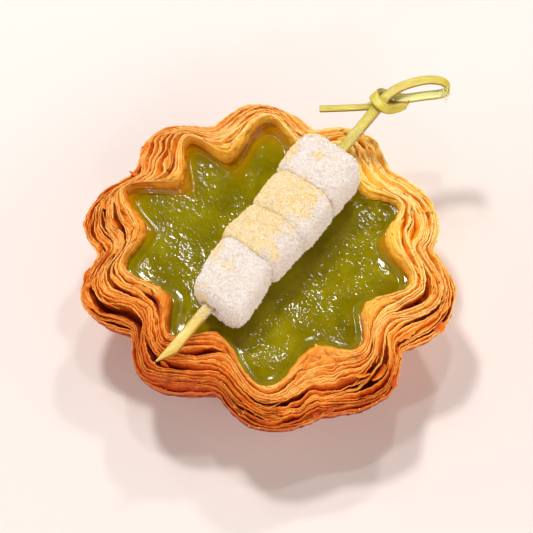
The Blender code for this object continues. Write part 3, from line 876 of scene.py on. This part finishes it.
def makeCustardMaterial():
    # Set matcha custard: a wet, glossy skin over cloudy green, with a browner film where it met the crust
    material, tree, shader = newMaterial("setMatchaCustard")
    place = addNode(tree, "ShaderNodeTexCoord").outputs["Object"]
    amber = addNode(tree, "ShaderNodeAttribute", attribute_name="amber").outputs["Fac"]
    # clouds about 7 mm across
    cloud = addNode(tree, "ShaderNodeTexNoise", {
        "Vector": place, "Scale": 140.0, "Detail": 5.0, "Roughness": 0.55, "Distortion": 0.6})
    green = addNode(tree, "ShaderNodeValToRGB", {"Fac": cloud}, stops=(
        (0.25, "#6C6200"), (0.5, "#817400"), (0.68, "#8E8304"), (0.85, "#A0971C")))
    colour = addNode(tree, "ShaderNodeMix", {
        "Factor": amber, 6: green, 7: linearColour("#BC7600")}, data_type="RGBA")
    # fine wrinkles 0.9 mm apart and pits 0.8 mm apart
    skin = addNode(tree, "ShaderNodeTexNoise", {
        "Vector": place, "Scale": 1100.0, "Detail": 3.0, "Roughness": 0.55})
    pits = addNode(tree, "ShaderNodeTexVoronoi", {"Vector": place, "Scale": 1200.0})
    relief = addNode(tree, "ShaderNodeMath", {0: skin, 1: 1.4, 2: pits}, operation="MULTIPLY_ADD")
    # the swollen edge is smoother than the open surface
    wrinkled = addNode(tree, "ShaderNodeAttribute", attribute_name="wrinkled").outputs["Fac"]
    height = addNode(tree, "ShaderNodeMath", {0: relief, 1: wrinkled}, operation="MULTIPLY")
    bump = addNode(tree, "ShaderNodeBump", {"Height": height, "Distance": 0.00005, "Strength": 0.8})
    setInputs(tree, shader, {
        "Base Color": colour.outputs[2], "Normal": bump, "Roughness": 0.085,
        "Specular IOR Level": 0.32, "IOR": 1.4,
        "Subsurface Weight": 0.15, "Subsurface Radius": (1.0, 0.8, 0.1), "Subsurface Scale": 0.001})
    return material


def makeCustard():
    # The surface as rings from the middle to the crust, then the hidden sides down to the floor
    phase = np.arange(custard["stations"]) / custard["stations"] * turns
    edge = custardEdge(phase, -0.25)
    radius = np.linalg.norm(edge, axis=1)
    reach = np.linspace(0.02, 1.0, custard["rings"]) ** 0.85
    grid = edge[:, None, :] * reach[None, :, None]
    inward = radius[:, None] * (1 - reach[None, :])
    band = custard["band"] * np.exp(-((inward - custard["bandPlace"]) / (custard["bandWidth"] / 2)) ** 2)
    dip = -custard["dip"] * np.exp(-((inward - custard["dipPlace"]) / 0.7) ** 2)
    climb = custard["climb"] * np.exp(-inward / 0.8)
    for place, span, height in custard["films"]:
        climb += height * np.exp(-(turnDistance(phase, place) / span) ** 2)[:, None] * np.exp(-inward / 1.3)
    relief = np.zeros(grid.shape[:2])
    for i, j in np.ndindex(relief.shape):
        spot = Vector(grid[i, j])
        patchy = min(max(0.75 + 1.0 * noise(spot / 6 + Vector((3, 14, 6))), 0.35), 1.3)
        pucker = custard["pucker"] * patchy * fractal(spot / 1.35, 1.0, 2.1, 3)
        relief[i, j] = custard["swell"] * noise(spot / 9) + pucker
    calm = np.clip((inward - custard["calmEnd"]) / 2.4, 0.04, 1)
    ripples = 0 * phase
    for place, span in custard["wrinkles"]:
        near = np.exp(-(turnDistance(phase, place) / span) ** 2)
        calm = np.maximum(calm, 0.95 * near[:, None])
        ripples = ripples + custard["ripples"] * near * wobble(np.random.default_rng(2), phase, 240)
    climb = climb + ripples[:, None] * np.exp(-(inward / 4) ** 2)
    grid[..., 2] = custard["middle"] + band + climb + dip + relief * calm
    amber = np.zeros(grid.shape[:2])
    for place, span, width in custard["ambers"]:
        near = np.exp(-(turnDistance(phase, place) / span) ** 2)
        amber += 0.9 * near[:, None] * np.exp(-(inward / width) ** 2)
    amber += 0.35 * np.exp(-inward / 0.7)
    below = []
    for pull, height in ((0.0, 22.0), (0.35, 18.5), (1.0, 5.5)):
        ring = edge * (1 - pull) + circleAt(phase, tart["cavityRadius"]) * pull
        ring[:, 2] = height
        below.append(ring)
    grid = np.concatenate([grid, np.stack(below, 1)], 1)
    amber = np.concatenate([np.clip(amber, 0, 1), np.zeros((len(phase), 3))], 1)
    calm = np.concatenate([np.maximum(calm, 0.3), np.ones((len(phase), 3))], 1)
    gridPiece("custardFilling", grid, makeCustardMaterial(),
              {"amber": amber, "wrinkled": calm}, nodes=["matcha_custard"], poles=True)


makeCustard()
print("custard done")


pick = {
    "point": (-25.9, -34.3, 30.2),
    "bearing": 52.9,
    "climb": 2.7,
    "width": 2.9,
    "thickness": 1.6,
    "length": 92,
    "pointLength": 5.5,
    "pointWidth": 0.12,
    "tieThickness": 0.8,
    "tieWidth": 2.7,
    "tailWidth": 1.9,
    # the bend of the loop has split into loose fibres
    "splitPlace": (11.2, 105.0, 0.8),
    "splitFibres": 30,
    "splitWidth": 0.26,
    "splitSeed": 6,
    # starch that the mochi has left on the shaft: place, spread and amount
    "dusty": ((19.5, 1.0, 0.9), (17.1, 1.5, 0.55), (74.0, 1.5, 0.5), (81.0, 2.2, 0.3), (86.5, 1.2, 0.2)),
    "dustPerSquareMetre": 1.1e7,
    "dustRadius": 0.00016,      # metres
}
pickTurn = (Matrix.Rotation(math.radians(pick["bearing"] - 90), 3, "Z")
            @ Matrix.Rotation(math.radians(pick["climb"]), 3, "X"))


def toTart(points):
    # From the pick's own frame, where it lies along Y, to the tart's
    return points @ np.array(pickTurn).T + np.array(pick["point"])


mochi = {
    # start and end along the pick, width, height, right, up, lean
    "pieces": (
        (20.3, 35.7, 16, 13.7, 0.9, 0.2, -0.13), (36, 47.2, 17.5, 14.9, 0.2, 0, 0.08),
        (47.5, 59, 18, 15.4, 0.5, -0.1, -0.05), (59.3, 71.9, 18.8, 16.2, -0.2, -0.2, 0)),
    "cushion": 3.0,
    "end": 5.5,
    "freeEnd": 4.5,
    "dimple": 0.7,              # pulled in round the pick
    "lump": 0.5,
    "dents": 0.4,               # smaller hills and hollows
    "dentSize": 3.2,
    "crust": 0.28,              # how rough the caked dust is
    "crustSize": 0.8,
    "meet": 1.0,                # neighbours swell into each other
    "flour": (-0.95, 0.1, 0.3, -0.8),       # how much roasted flour lies on each
    "driftSize": 4.5,
    # name, grains per square metre, radius in metres, seed, 1 where it fills what the flour leaves free
    "dust": (
        ("starchGrains", 2.2e6, 0.00023, 3, 1.0, ("dryStarch", "#D8CBC4", "#F2EDE9")),
        ("soyFlourGrains", 5.5e6, 0.0002, 4, 0.0, ("roastedSoyFlour", "#E4B95C", "#F2E2B0"))),
    "stations": 180,
    "rings": 90,
}


def makeMochiMaterial():
    # Soft rice cake under starch: dull white powder, with roasted soy flour drifted on it
    material, tree, shader = newMaterial("dustedRiceCake")
    place = addNode(tree, "ShaderNodeTexCoord").outputs["Object"]
    flour = addNode(tree, "ShaderNodeAttribute", attribute_name="flour").outputs["Fac"]
    pickHole = addNode(tree, "ShaderNodeAttribute", attribute_name="pickHole").outputs["Fac"]
    # clumps of powder 0.7 mm across, and drifts of 4 mm
    speck = addNode(tree, "ShaderNodeTexNoise", {
        "Vector": place, "Scale": 1500.0, "Detail": 4.0, "Roughness": 0.7})
    drift = addNode(tree, "ShaderNodeTexNoise", {
        "Vector": place, "Scale": 260.0, "Detail": 5.0, "Roughness": 0.6})
    mixed = addNode(tree, "ShaderNodeMath", {0: speck, 1: 0.9, 2: drift}, operation="MULTIPLY_ADD")
    level = addNode(tree, "ShaderNodeMath", {0: flour, 1: mixed}, operation="MULTIPLY")
    amount = addNode(tree, "ShaderNodeMapRange", {"Value": level, "From Min": 0.25, "From Max": 1.0})
    starch = addNode(tree, "ShaderNodeValToRGB", {"Fac": speck}, stops=(
        (0.3, "#CFBCB3"), (0.5, "#E0D4CC"), (0.7, "#EDE7E2")))
    colour = addNode(tree, "ShaderNodeMix", {
        "Factor": amount, 6: starch, 7: linearColour("#ECD49A")}, data_type="RGBA")
    # painted shade: darker brown round the pick, in the dimple where it goes in
    holeShade = addNode(tree, "ShaderNodeMath", {0: pickHole, 1: mixed}, operation="MULTIPLY")
    browned = addNode(tree, "ShaderNodeMix", {
        "Factor": holeShade, 6: colour.outputs[2], 7: linearColour("#9A6A3C")}, data_type="RGBA")
    bump = addNode(tree, "ShaderNodeBump", {"Height": mixed, "Distance": 0.00014, "Strength": 0.9})
    setInputs(tree, shader, {
        "Base Color": browned.outputs[2], "Normal": bump, "Roughness": 0.9, "Specular IOR Level": 0.2,
        "Subsurface Weight": 0.3, "Subsurface Radius": (1.0, 0.6, 0.45), "Subsurface Scale": 0.0015})
    return material


def makeMochi(number, material):
    # One piece: a cushion with four soft sides, from its own place on the pick
    start, end, width, height, right, up, lean = mochi["pieces"][number]
    half = np.array([width, end - start + 2 * mochi["meet"], height]) / 2
    polar = np.pi * np.arange(1, mochi["rings"]) / mochi["rings"]
    polar = polar + 0.15 * np.sin(4 * polar)
    around = math.tau * np.arange(mochi["stations"]) / mochi["stations"]
    polar, around = np.meshgrid(polar, around)
    way = np.stack([np.sin(polar) * np.cos(around), np.cos(polar), -np.sin(polar) * np.sin(around)], -1)
    power = mochi["cushion"]
    section = (np.abs(way[..., 0]) ** power + np.abs(way[..., 2]) ** power) ** (1 / power)
    # flat where it meets a neighbour, rounder at the free ends of the row
    free = {0: -1, len(mochi["pieces"]) - 1: 1}.get(number, 0)
    square = np.where(way[..., 1] * free > 0, mochi["freeEnd"], mochi["end"])
    size = (section ** square + np.abs(way[..., 1]) ** square) ** (-1 / square)
    seed = Vector((7.3 * number, 2.1, 5.7))
    grid = way * size[..., None] * half
    for i, j in np.ndindex(size.shape):
        lump = noise(Vector(way[i, j]) * 1.6 + seed) * mochi["lump"]
        lump += noise(Vector(grid[i, j] / mochi["dentSize"]) + seed) * mochi["dents"]
        dust = mochi["crust"] * fractal(Vector(grid[i, j] / mochi["crustSize"]) + seed, 0.8, 2.0, 3)
        grid[i, j] += way[i, j] * (lump + dust)
    grid[..., 0] += lean * grid[..., 1] + right
    grid[..., 1] += (start + end) / 2
    grid[..., 2] += up
    # roasted flour lies in patches, most on the upper left and in the seams
    seam = np.exp(-((half[1] - np.abs(grid[..., 1] - (start + end) / 2)) / 1.3) ** 2)
    flour = np.zeros(size.shape)
    for i, j in np.ndindex(size.shape):
        patch = 0.9 * fractal(Vector(grid[i, j] / mochi["driftSize"]) + seed, 0.8, 2.1, 4)
        faced = 0.7 * way[i, j, 2] - 1.0 * way[i, j, 0] + 0.35 * seam[i, j]
        flour[i, j] = mochi["flour"][number] + patch + faced
    flour = np.clip(flour * 1.2, 0, 0.8)
    # the rice cake is pulled into a dimple where the pick goes in, and painted darker brown there as shade
    across = np.hypot(grid[..., 0], grid[..., 2] * 1.5)
    pickHole = np.exp(-(across / 2.3) ** 4) * (np.abs(way[..., 1]) > 0.5)
    grid[..., 1] -= np.sign(way[..., 1]) * pickHole * mochi["dimple"]
    return gridPiece(f"mochi{number + 1}", toTart(grid), material, {"flour": flour, "pickHole": pickHole},
                     nodes=[f"mochi_{number + 1}"], poles=True)


def makeDust(pieces):
    # Starch everywhere that the roasted flour leaves free
    base = joinMeshes("dustedSurfaces", pieces)
    for name, density, size, seed, reverse, look in mochi["dust"]:
        growPiece(name, base.copy(), grainTree, {
            "Density": density, "Size": size, "Spread": 0.5, "Flatness": 0.75, "Seed": seed,
            "Where": "flour", "Reverse": reverse, "Look": makeDustMaterial(*look)})


mochiMaterial = makeMochiMaterial()
mochiPieces = [makeMochi(number, mochiMaterial) for number in range(len(mochi["pieces"]))]
makeDust(mochiPieces)
print("mochi done")


# the tied end: places in the pick's own frame, and which way the strip's upper face looks there
routes = {
    "loop": (
        ((0, 84, 0.2), (0, 0, 1)), ((-0.2, 92.2, 0.3), (0, 0, 1)), ((0.4, 96.4, 0.6), (0, 0, 1)),
        ((2.4, 100.4, 1.2), (0, 0, 1)), ((6, 104.5, 1.6), (0, 0.1, 1)), ((9.6, 106.6, 1.4), (0.3, 0.3, 1)),
        ((11.7, 106.2, 0.2), (1, 0.6, 0.1)), ((10.6, 104.6, -0.9), (0.2, 0.1, -1)),
        ((7.4, 101.6, -1.1), (0, 0, -1)), ((4.2, 98.5, -1.2), (0, 0, -1)), ((1.2, 96.6, -1.3), (0, 0, -1))),
    "wrap": (
        ((1.2, 96.6, -1.3), (0, 0, -1)), ((-1.6, 95.8, -1), (-0.6, 0.5, -1)),
        ((-2.9, 94, 0.5), (-1, 0.2, 0.3)), ((-1.6, 91.9, 1.7), (-0.3, 0, 1)),
        ((0.8, 91, 1.9), (0.2, -0.2, 1)),
        ((2.9, 91.6, 1.1), (0.7, -0.7, 0.7)), ((4.4, 94.2, 0), (0.9, -0.4, 0.5)),
        ((5.2, 96.6, -1.2), (0.8, 0.4, -0.5)), ((3.4, 96.2, -2.2), (0, 0, -1)),
        ((0.4, 93.4, -1.9), (0, 0, -1)), ((-2.4, 90.4, -1.2), (0, 0, -1))),
    "tail": (
        ((0.4, 93.4, -1.9), (0, 0, 1)), ((-2.4, 90.4, -1.2), (0, 0, 1)), ((-7.2, 86, -0.7), (0, 0, 1)),
        ((-12.2, 82, -0.6), (0, 0, 1))),
}


def makeBambooMaterial():
    # Green bamboo, split and dried: a waxy yellow-green skin on one face, pale fibres on the others
    material, tree, shader = newMaterial("splitGreenBamboo")
    skin, side, fresh = [addNode(tree, "ShaderNodeAttribute", attribute_name=name).outputs["Fac"]
                         for name in ("skin", "side", "fresh")]
    along = addNode(tree, "ShaderNodeUVMap", uv_map="alongAndDeep")
    # fibres 0.15 mm apart that run the length of the strip
    stretched = addNode(tree, "ShaderNodeMapping", {"Vector": along, "Scale": (0.12, 6.0, 1.0)})
    fibres = addNode(tree, "ShaderNodeTexNoise", {
        "Vector": stretched, "Scale": 1.0, "Detail": 5.0, "Roughness": 0.6})
    # blotches of the skin, 6 mm long and 2 mm wide
    patchy = addNode(tree, "ShaderNodeMapping", {"Vector": along, "Scale": (0.16, 0.5, 1.0)})
    blotch = addNode(tree, "ShaderNodeTexNoise", {
        "Vector": patchy, "Scale": 1.0, "Detail": 4.0, "Roughness": 0.7})
    green = addNode(tree, "ShaderNodeValToRGB", {"Fac": blotch}, stops=(
        (0.25, "#B09A30"), (0.45, "#D2B240"), (0.6, "#DEC05A"), (0.75, "#E8D290")))
    pale = addNode(tree, "ShaderNodeValToRGB", {"Fac": fibres}, stops=(
        (0.3, "#DCC07C"), (0.5, "#EDDCA6"), (0.7, "#F4E8C8")))
    faces = addNode(tree, "ShaderNodeMix", {"Factor": skin, 6: pale, 7: green}, data_type="RGBA")
    edge = addNode(tree, "ShaderNodeMix", {
        "Factor": side, 6: faces.outputs[2], 7: linearColour("#AC782C")}, data_type="RGBA")
    # the upper end and the knot are greener than the point
    greened = addNode(tree, "ShaderNodeMix", {
        "Factor": fresh, 6: edge.outputs[2], 7: linearColour("#F0FFD6")},
        data_type="RGBA", blend_type="MULTIPLY")
    streak = addNode(tree, "ShaderNodeMapRange", {
        "Value": fibres, "From Min": 0.3, "From Max": 0.7, "To Min": 0.82, "To Max": 1.08})
    colour = addNode(tree, "ShaderNodeMix", {
        "Factor": 1.0, 6: greened.outputs[2], 7: streak}, data_type="RGBA", blend_type="MULTIPLY")
    bump = addNode(tree, "ShaderNodeBump", {"Height": fibres, "Distance": 0.00008, "Strength": 0.6})
    setInputs(tree, shader, {
        "Base Color": colour.outputs[2], "Normal": bump, "Roughness": 0.42, "IOR": 1.5,
        "Subsurface Weight": 0.08, "Subsurface Scale": 0.0008})
    return material


def smoothRoute(route, steps):
    # A smooth run of places and facings through the route's own places
    places = np.array([place for place, facing in route], float)
    facings = np.array([facing for place, facing in route], float)
    facings /= np.linalg.norm(facings, axis=1, keepdims=True)
    points, ways = [], []
    for span in range(len(route) - 1):
        near = np.clip([span - 1, span, span + 1, span + 2], 0, len(route) - 1)
        a, b, c, d = places[near]
        for t in np.arange(steps) / steps:
            bend = (2 * a - 5 * b + 4 * c - d) * t ** 2 + (3 * b - a - 3 * c + d) * t ** 3
            points.append(b + ((c - a) * t + bend) / 2)
            ease = t * t * (3 - 2 * t)
            ways.append(facings[near[1]] * (1 - ease) + facings[near[2]] * ease)
    points.append(places[-1])
    ways.append(facings[-1])
    return np.array(points), np.array(ways)


def makeStrip(name, points, facings, widths, thickness, skinUp, material, shift=None, nodes=(), dusty=()):
    # A strip with softly rounded edges, swept along its points: skinUp is 0 for a bare fibre
    corners = 16
    turn = math.tau * (np.arange(corners) + 0.5) / corners
    wide = np.sign(np.cos(turn)) * np.abs(np.cos(turn)) ** 0.4
    high = np.sign(np.sin(turn)) * np.abs(np.sin(turn)) ** 0.5
    run = np.gradient(points, axis=0)
    run /= np.linalg.norm(run, axis=1, keepdims=True)
    sides = np.cross(run, facings)
    sides /= np.linalg.norm(sides, axis=1, keepdims=True)
    tops = np.cross(sides, run)
    middle = points if shift is None else points + sides * shift[:, None]
    grid = (middle[:, None] + sides[:, None] * (wide[None, :, None] * widths[:, None, None] / 2)
            + tops[:, None] * (high[None, :, None] * np.reshape(thickness, (-1, 1, 1)) / 2))
    count = len(points)
    faces = []
    for here in range(count - 1):
        for corner in range(corners):
            after = (corner + 1) % corners
            faces.append([here * corners + corner, here * corners + after,
                          (here + 1) * corners + after, (here + 1) * corners + corner])
    faces.append(list(reversed(range(corners))))
    faces.append([(count - 1) * corners + corner for corner in range(corners)])
    length = np.linalg.norm(np.diff(points, axis=0, prepend=points[:1]), axis=1).cumsum()
    acrossStrip = wide * 1.4 + 3 * (high < 0)
    uv = np.stack(np.broadcast_arrays(length[:, None], acrossStrip[None, :]), -1).reshape(-1, 2)
    skin = np.repeat(np.clip(high * skinUp * 2, 0, 1)[None, :], count, 0)
    dust = np.zeros((count, corners))
    for place, span, amount in dusty:
        dust += amount * np.exp(-((length[:, None] - place) / span) ** 2) * np.clip(high + 0.6, 0, 1)[None, :]
    fresh = np.repeat(np.clip((middle[:, 1] - 30) / 40, 0, 1)[:, None], corners, 1)
    side = np.clip((np.abs(wide) - 0.88) * 14, 0, 1) * (np.abs(high) < 0.75) * (skinUp > 0)
    side = np.repeat(side[None, :], count, 0)
    return addPiece(name, toTart(grid.reshape(-1, 3)), faces, material,
                    {"skin": skin, "side": side, "dust": np.clip(dust, 0, 1), "fresh": fresh}, uv, nodes)


def makePick(material):
    # The shaft, the tied loop and its tail, and the loose fibres of the loop
    along = np.concatenate([np.linspace(0, 12, 40), np.linspace(12.5, pick["length"] + 2, 120)])
    points = np.stack([0 * along, along, 0 * along], 1)
    facings = np.tile([0.0, 0.0, 1.0], (len(along), 1))
    widths = pick["width"] * np.minimum(1, pick["pointWidth"] + along / pick["pointLength"])
    thickness = pick["thickness"] * np.minimum(1, 0.35 + along / 8)
    shift = -(pick["width"] - widths) / 2
    shaft = makeStrip("pickShaft", points, facings, widths, thickness, 1, material, shift,
                      ["bamboo_pick"], pick["dusty"])
    growPiece("pickStarch", joinMeshes("dustedBamboo", [shaft]), grainTree, {
        "Density": pick["dustPerSquareMetre"], "Size": pick["dustRadius"], "Spread": 0.5, "Flatness": 0.7,
        "Seed": 9, "Where": "dust", "Reverse": 0.0, "Look": bpy.data.materials["dryStarch"]})
    for name, width in (("loop", pick["tieWidth"]), ("wrap", pick["tieWidth"]), ("tail", pick["tailWidth"])):
        points, facings = smoothRoute(routes[name], 10)
        widths = np.full(len(points), float(width))
        makeStrip("pick" + name.capitalize(), points, facings, widths, pick["tieThickness"], 1, material)
    draw = np.random.default_rng(pick["splitSeed"])
    steps = np.linspace(0, 1, 9)[:, None]
    facings = np.tile([0.0, 0.3, 1.0], (len(steps), 1))
    for number in range(pick["splitFibres"]):
        start = np.array(pick["splitPlace"]) + draw.uniform(-1, 1, 3) * (0.9, 1.3, 0.9)
        reach = np.array([0.7, -0.7, -0.1]) * draw.uniform(0.8, 2.2) + draw.uniform(-0.6, 0.6, 3)
        points = start + reach * steps + draw.uniform(-0.5, 0.5, 3) * steps ** 2
        width = pick["splitWidth"] * draw.uniform(0.6, 1.3) * (1 - 0.7 * steps[:, 0])
        makeStrip(f"pickFibre{number + 1}", points, facings, width, 0.14, 0, material)


makePick(makeBambooMaterial())
print("pick done")


studio = {
    "target": (0, 0, 25),
    "elevation": 60,
    "distance": 520,
    "lens": 138.03,
    "shiftY": -0.0253,
    "floorSize": 3000,
    # name, place, width and length, watts, colour
    "lights": (
        ("keySoftbox", (-165, 255, 660), (84, 84), 2.55, "#FFFDF8"),
        ("leftFill", (-730, -80, 290), (800, 800), 2.0, "#FFFBF4"),
        ("rightFill", (700, -330, 290), (800, 800), 3.4, "#FFF3E6"),
        ("frontFill", (40, -760, 300), (800, 800), 2.4, "#FFFAF2"),
        ("glintLeft", (-150, 330, 560), (30, 30), 0.22, "#FFFFFF"),
        ("glintRight", (150, 400, 540), (56, 56), 1.0, "#FFFFFF"),
        ("glintTop", (40, 150, 660), (40, 40), 0.55, "#FFFFFF"),
        ("glintFront", (-60, -560, 390), (34, 34), 0.3, "#FFFFFF"),
    ),
}


def makeStudio():
    # Matt paper under the tart: a pale, slightly warm ground with hardly any pattern
    material, tree, shader = newMaterial("paleStudioPaper")
    place = addNode(tree, "ShaderNodeTexCoord").outputs["Object"]
    mottle = addNode(tree, "ShaderNodeTexNoise", {"Vector": place, "Scale": 6.0, "Detail": 2.0})
    tone = addNode(tree, "ShaderNodeValToRGB", {"Fac": mottle}, stops=((0.3, "#E6DDDA"), (0.7, "#E9E0DD")))
    setInputs(tree, shader, {"Base Color": tone, "Roughness": 0.9})
    half = studio["floorSize"] / 2 * mm
    corners = [(-half, -half, 0), (half, -half, 0), (half, half, 0), (-half, half, 0)]
    mesh = bpy.data.meshes.new("studioFloor")
    mesh.from_pydata(corners, [], [(0, 1, 2, 3)])
    mesh.materials.append(material)
    floor = bpy.data.objects.new("studioFloor", mesh)
    bpy.context.scene.collection.objects.link(floor)

    for name, where, size, watts, colour in studio["lights"]:
        lamp = bpy.data.lights.new(name, "AREA")
        lamp.shape = "RECTANGLE"
        lamp.size, lamp.size_y = size[0] * mm, size[1] * mm
        lamp.energy = watts
        lamp.color = linearColour(colour)[:3]
        obj = bpy.data.objects.new(name, lamp)
        obj.location = Vector(where) * mm
        obj.rotation_euler = (Vector(studio["target"]) - Vector(where)).to_track_quat("-Z", "Y").to_euler()
        bpy.context.scene.collection.objects.link(obj)

    # a pale room near the horizon under a dim ceiling, so that the custard mirrors no white
    world = bpy.data.worlds.new("studio")
    world.use_nodes = True
    tree = world.node_tree
    way = addNode(tree, "ShaderNodeTexCoord").outputs["Generated"]
    height = addNode(tree, "ShaderNodeSeparateXYZ", {"Vector": way}).outputs["Z"]
    tone = addNode(tree, "ShaderNodeValToRGB", {"Fac": height}, stops=(
        (0.0, "#FDFAF6"), (0.4, "#F6F2EC"), (0.65, "#24221E"), (1.0, "#24221E")))
    setInputs(tree, tree.nodes["Background"], {"Color": tone, "Strength": 0.7})
    bpy.context.scene.world = world

    elevation = math.radians(studio["elevation"])
    back = Vector((0, -math.cos(elevation), math.sin(elevation)))
    camera = bpy.data.cameras.new("camera")
    camera.lens = studio["lens"]
    camera.shift_y = studio["shiftY"]
    camera.clip_end = 20
    obj = bpy.data.objects.new("camera", camera)
    obj.location = (Vector(studio["target"]) + back * studio["distance"]) * mm
    obj.rotation_euler = (-back).to_track_quat("-Z", "Y").to_euler()
    bpy.context.scene.collection.objects.link(obj)
    bpy.context.scene.camera = obj
    bpy.context.scene.view_settings.view_transform = "Standard"


makeStudio()
print("studio done")
